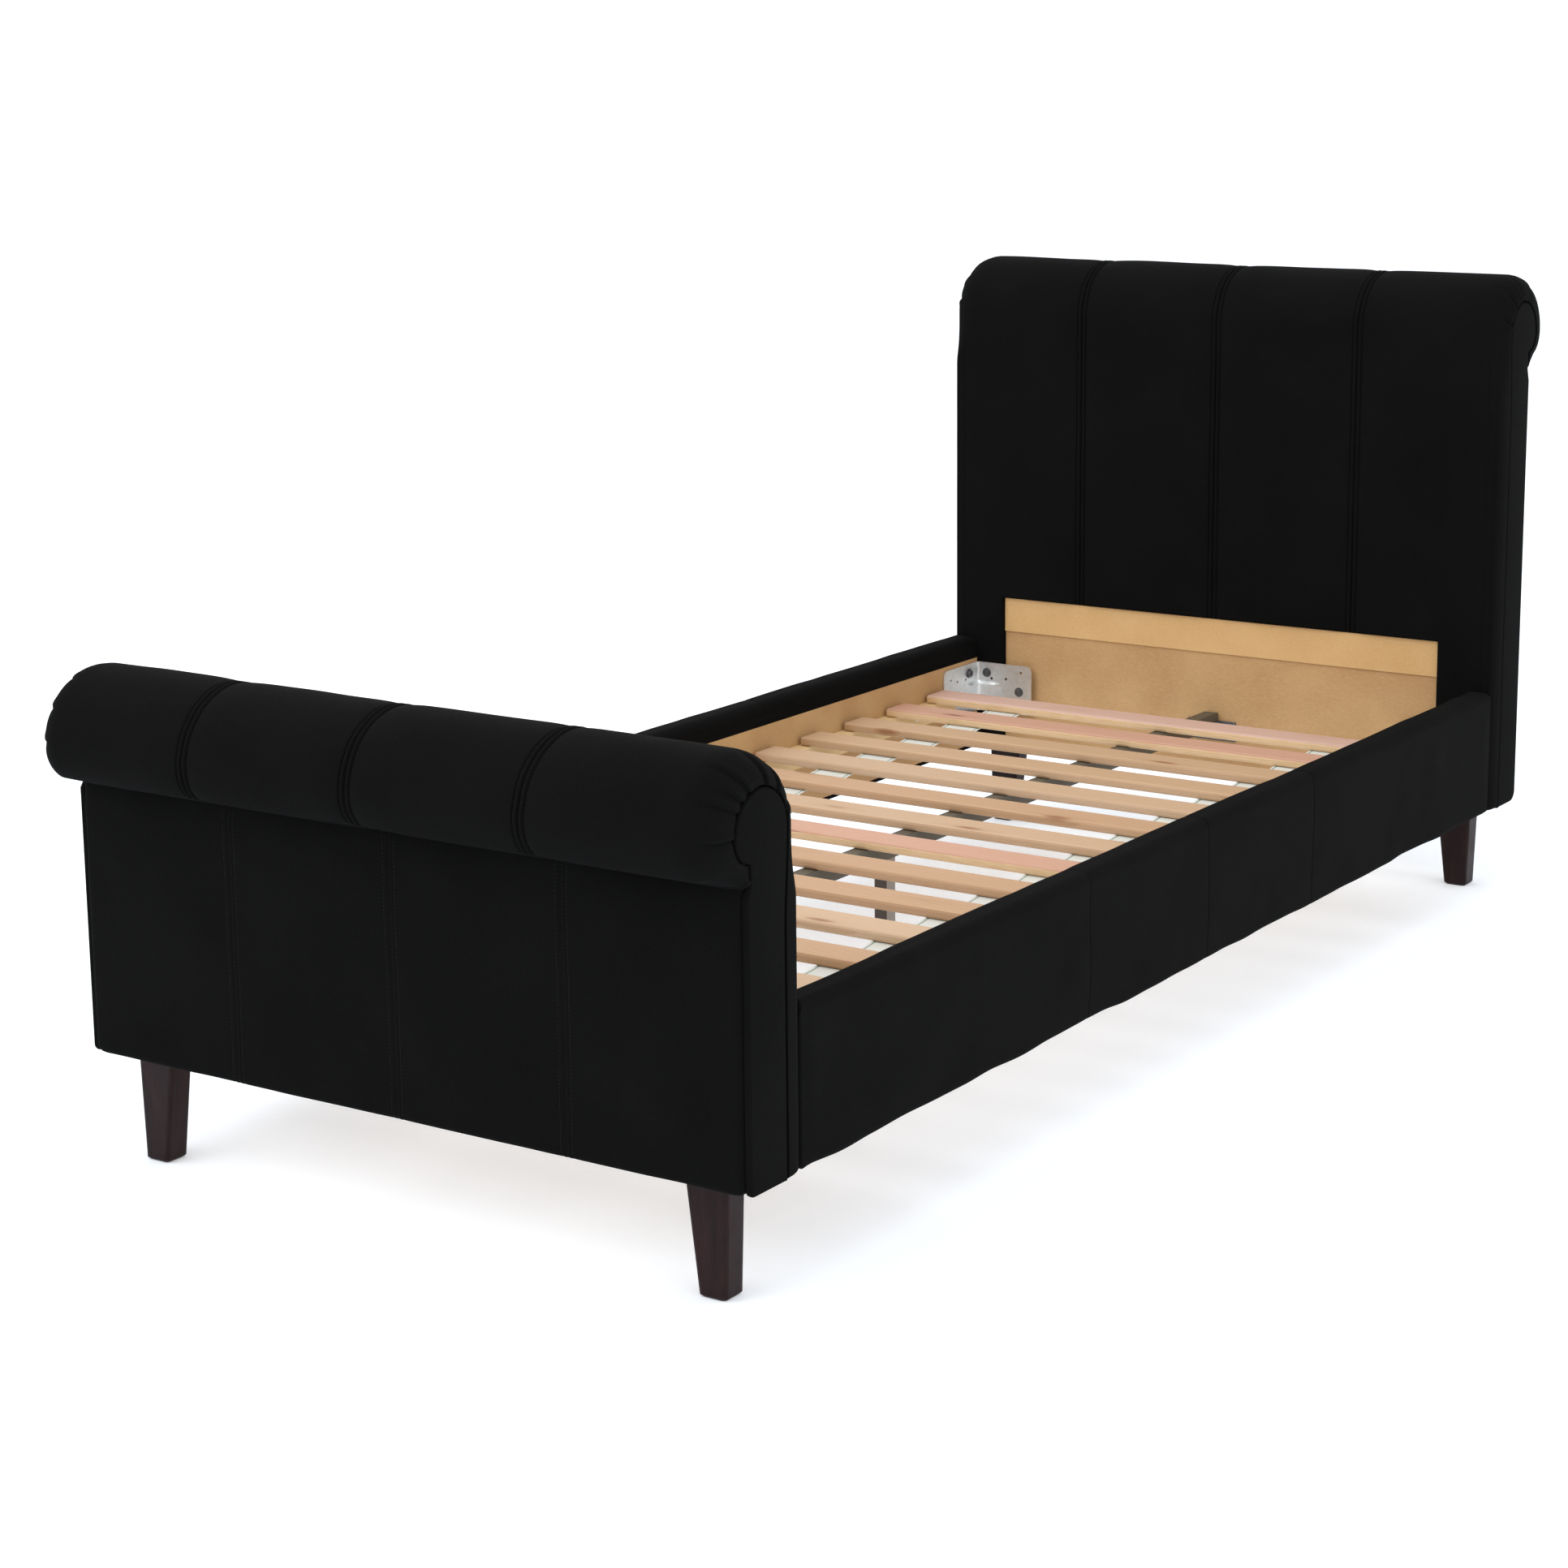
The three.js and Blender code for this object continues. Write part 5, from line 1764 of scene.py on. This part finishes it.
# ---------------------------------------------------------------- studio
@dataclass
class Studio:
    """Pale floor, soft lights and the camera."""

    palette: Palette
    floor_reach: float = 40.0
    surround: float = 1.02
    place: tuple[float, float, float] = (2.5018, -3.9923, 1.4373)
    azimuth: float = 34.035
    pitch: float = 11.787
    roll: float = -0.617
    lens: float = 76.02
    rise: float = -0.0518

    def floor(self) -> None:
        """Makes the floor."""
        mesh = bpy.data.meshes.new("studio_floor")
        reach = self.floor_reach
        mesh.from_pydata([(-reach, -reach, 0), (reach, -reach, 0), (reach, reach, 0), (-reach, reach, 0)],
                         [], [(0, 1, 2, 3)])
        new_object("studio_floor", mesh, self.palette.floor)

    def light(self, name: str, place: tuple, aim: tuple, size: float, power: float) -> None:
        """Adds one soft square light.

        Args:
            name: its name.
            place: where it stands.
            aim: the point that it faces.
            size: its side in metres.
            power: its power in watts.
        """
        lamp = bpy.data.lights.new(name, "AREA")
        lamp.size = size
        lamp.energy = power
        carrier = bpy.data.objects.new(name, lamp)
        carrier.location = place
        carrier.rotation_euler = (Vector(aim) - Vector(place)).to_track_quat("-Z", "Y").to_euler()
        bpy.context.scene.collection.objects.link(carrier)

    def lights(self) -> None:
        """Adds the soft lights and the bright surround."""
        world = bpy.data.worlds.new("studio_surround")
        world.use_nodes = True
        background = world.node_tree.nodes["Background"]
        background.inputs["Color"].default_value = (1.0, 1.0, 1.0, 1.0)
        background.inputs["Strength"].default_value = self.surround
        bpy.context.scene.world = world
        self.light("key", (-2.2, -3.6, 4.4), (0, 0, 0.4), 3.5, 85)
        self.light("fill", (4.6, -1.0, 3.0), (0, 0, 0.3), 3.5, 24)
        self.light("top", (0, 0.4, 5.0), (0, 0, 0), 4.0, 60)

    def camera(self) -> None:
        """Adds the camera."""
        data = bpy.data.cameras.new("studio_camera")
        data.lens = self.lens
        data.sensor_width = 36.0
        data.shift_y = self.rise
        data.clip_end = 200.0
        carrier = bpy.data.objects.new("studio_camera", data)
        bpy.context.scene.collection.objects.link(carrier)
        a, e = math.radians(self.azimuth), math.radians(self.pitch)
        back = Vector((math.sin(a) * math.cos(e), -math.cos(a) * math.cos(e), math.sin(e)))
        right = Vector((0, 0, 1)).cross(back).normalized()
        up = back.cross(right)
        turn = Matrix((right, up, back)).transposed() @ Matrix.Rotation(math.radians(self.roll), 3, "Z")
        carrier.matrix_world = Matrix.Translation(self.place) @ turn.to_4x4()
        bpy.context.scene.camera = carrier

    def build(self) -> None:
        """Builds the studio."""
        bpy.context.scene.view_settings.view_transform = "Standard"
        self.camera()
        self.floor()
        self.lights()


def main() -> None:
    """Builds the bed piece by piece."""
    logging.basicConfig(level=logging.INFO, format="%(name)s %(message)s")
    palette = Palette()
    Studio(palette).build()
    shop = Workshop(palette)
    EndSection(shop, "footboard", SewnSeam(), seed=101).build()
    EndSection(shop, "headboard", SewnSeam(), seed=202, folds_from=60.0,
               foot_corner=26 * MM).build()
    SideRails(shop).build()
    SlattedBase(shop).build()
    CornerBrackets(shop).build()
    CentreRail(shop).build()
    Legs(shop).build()


if __name__ == "__main__":
    main()
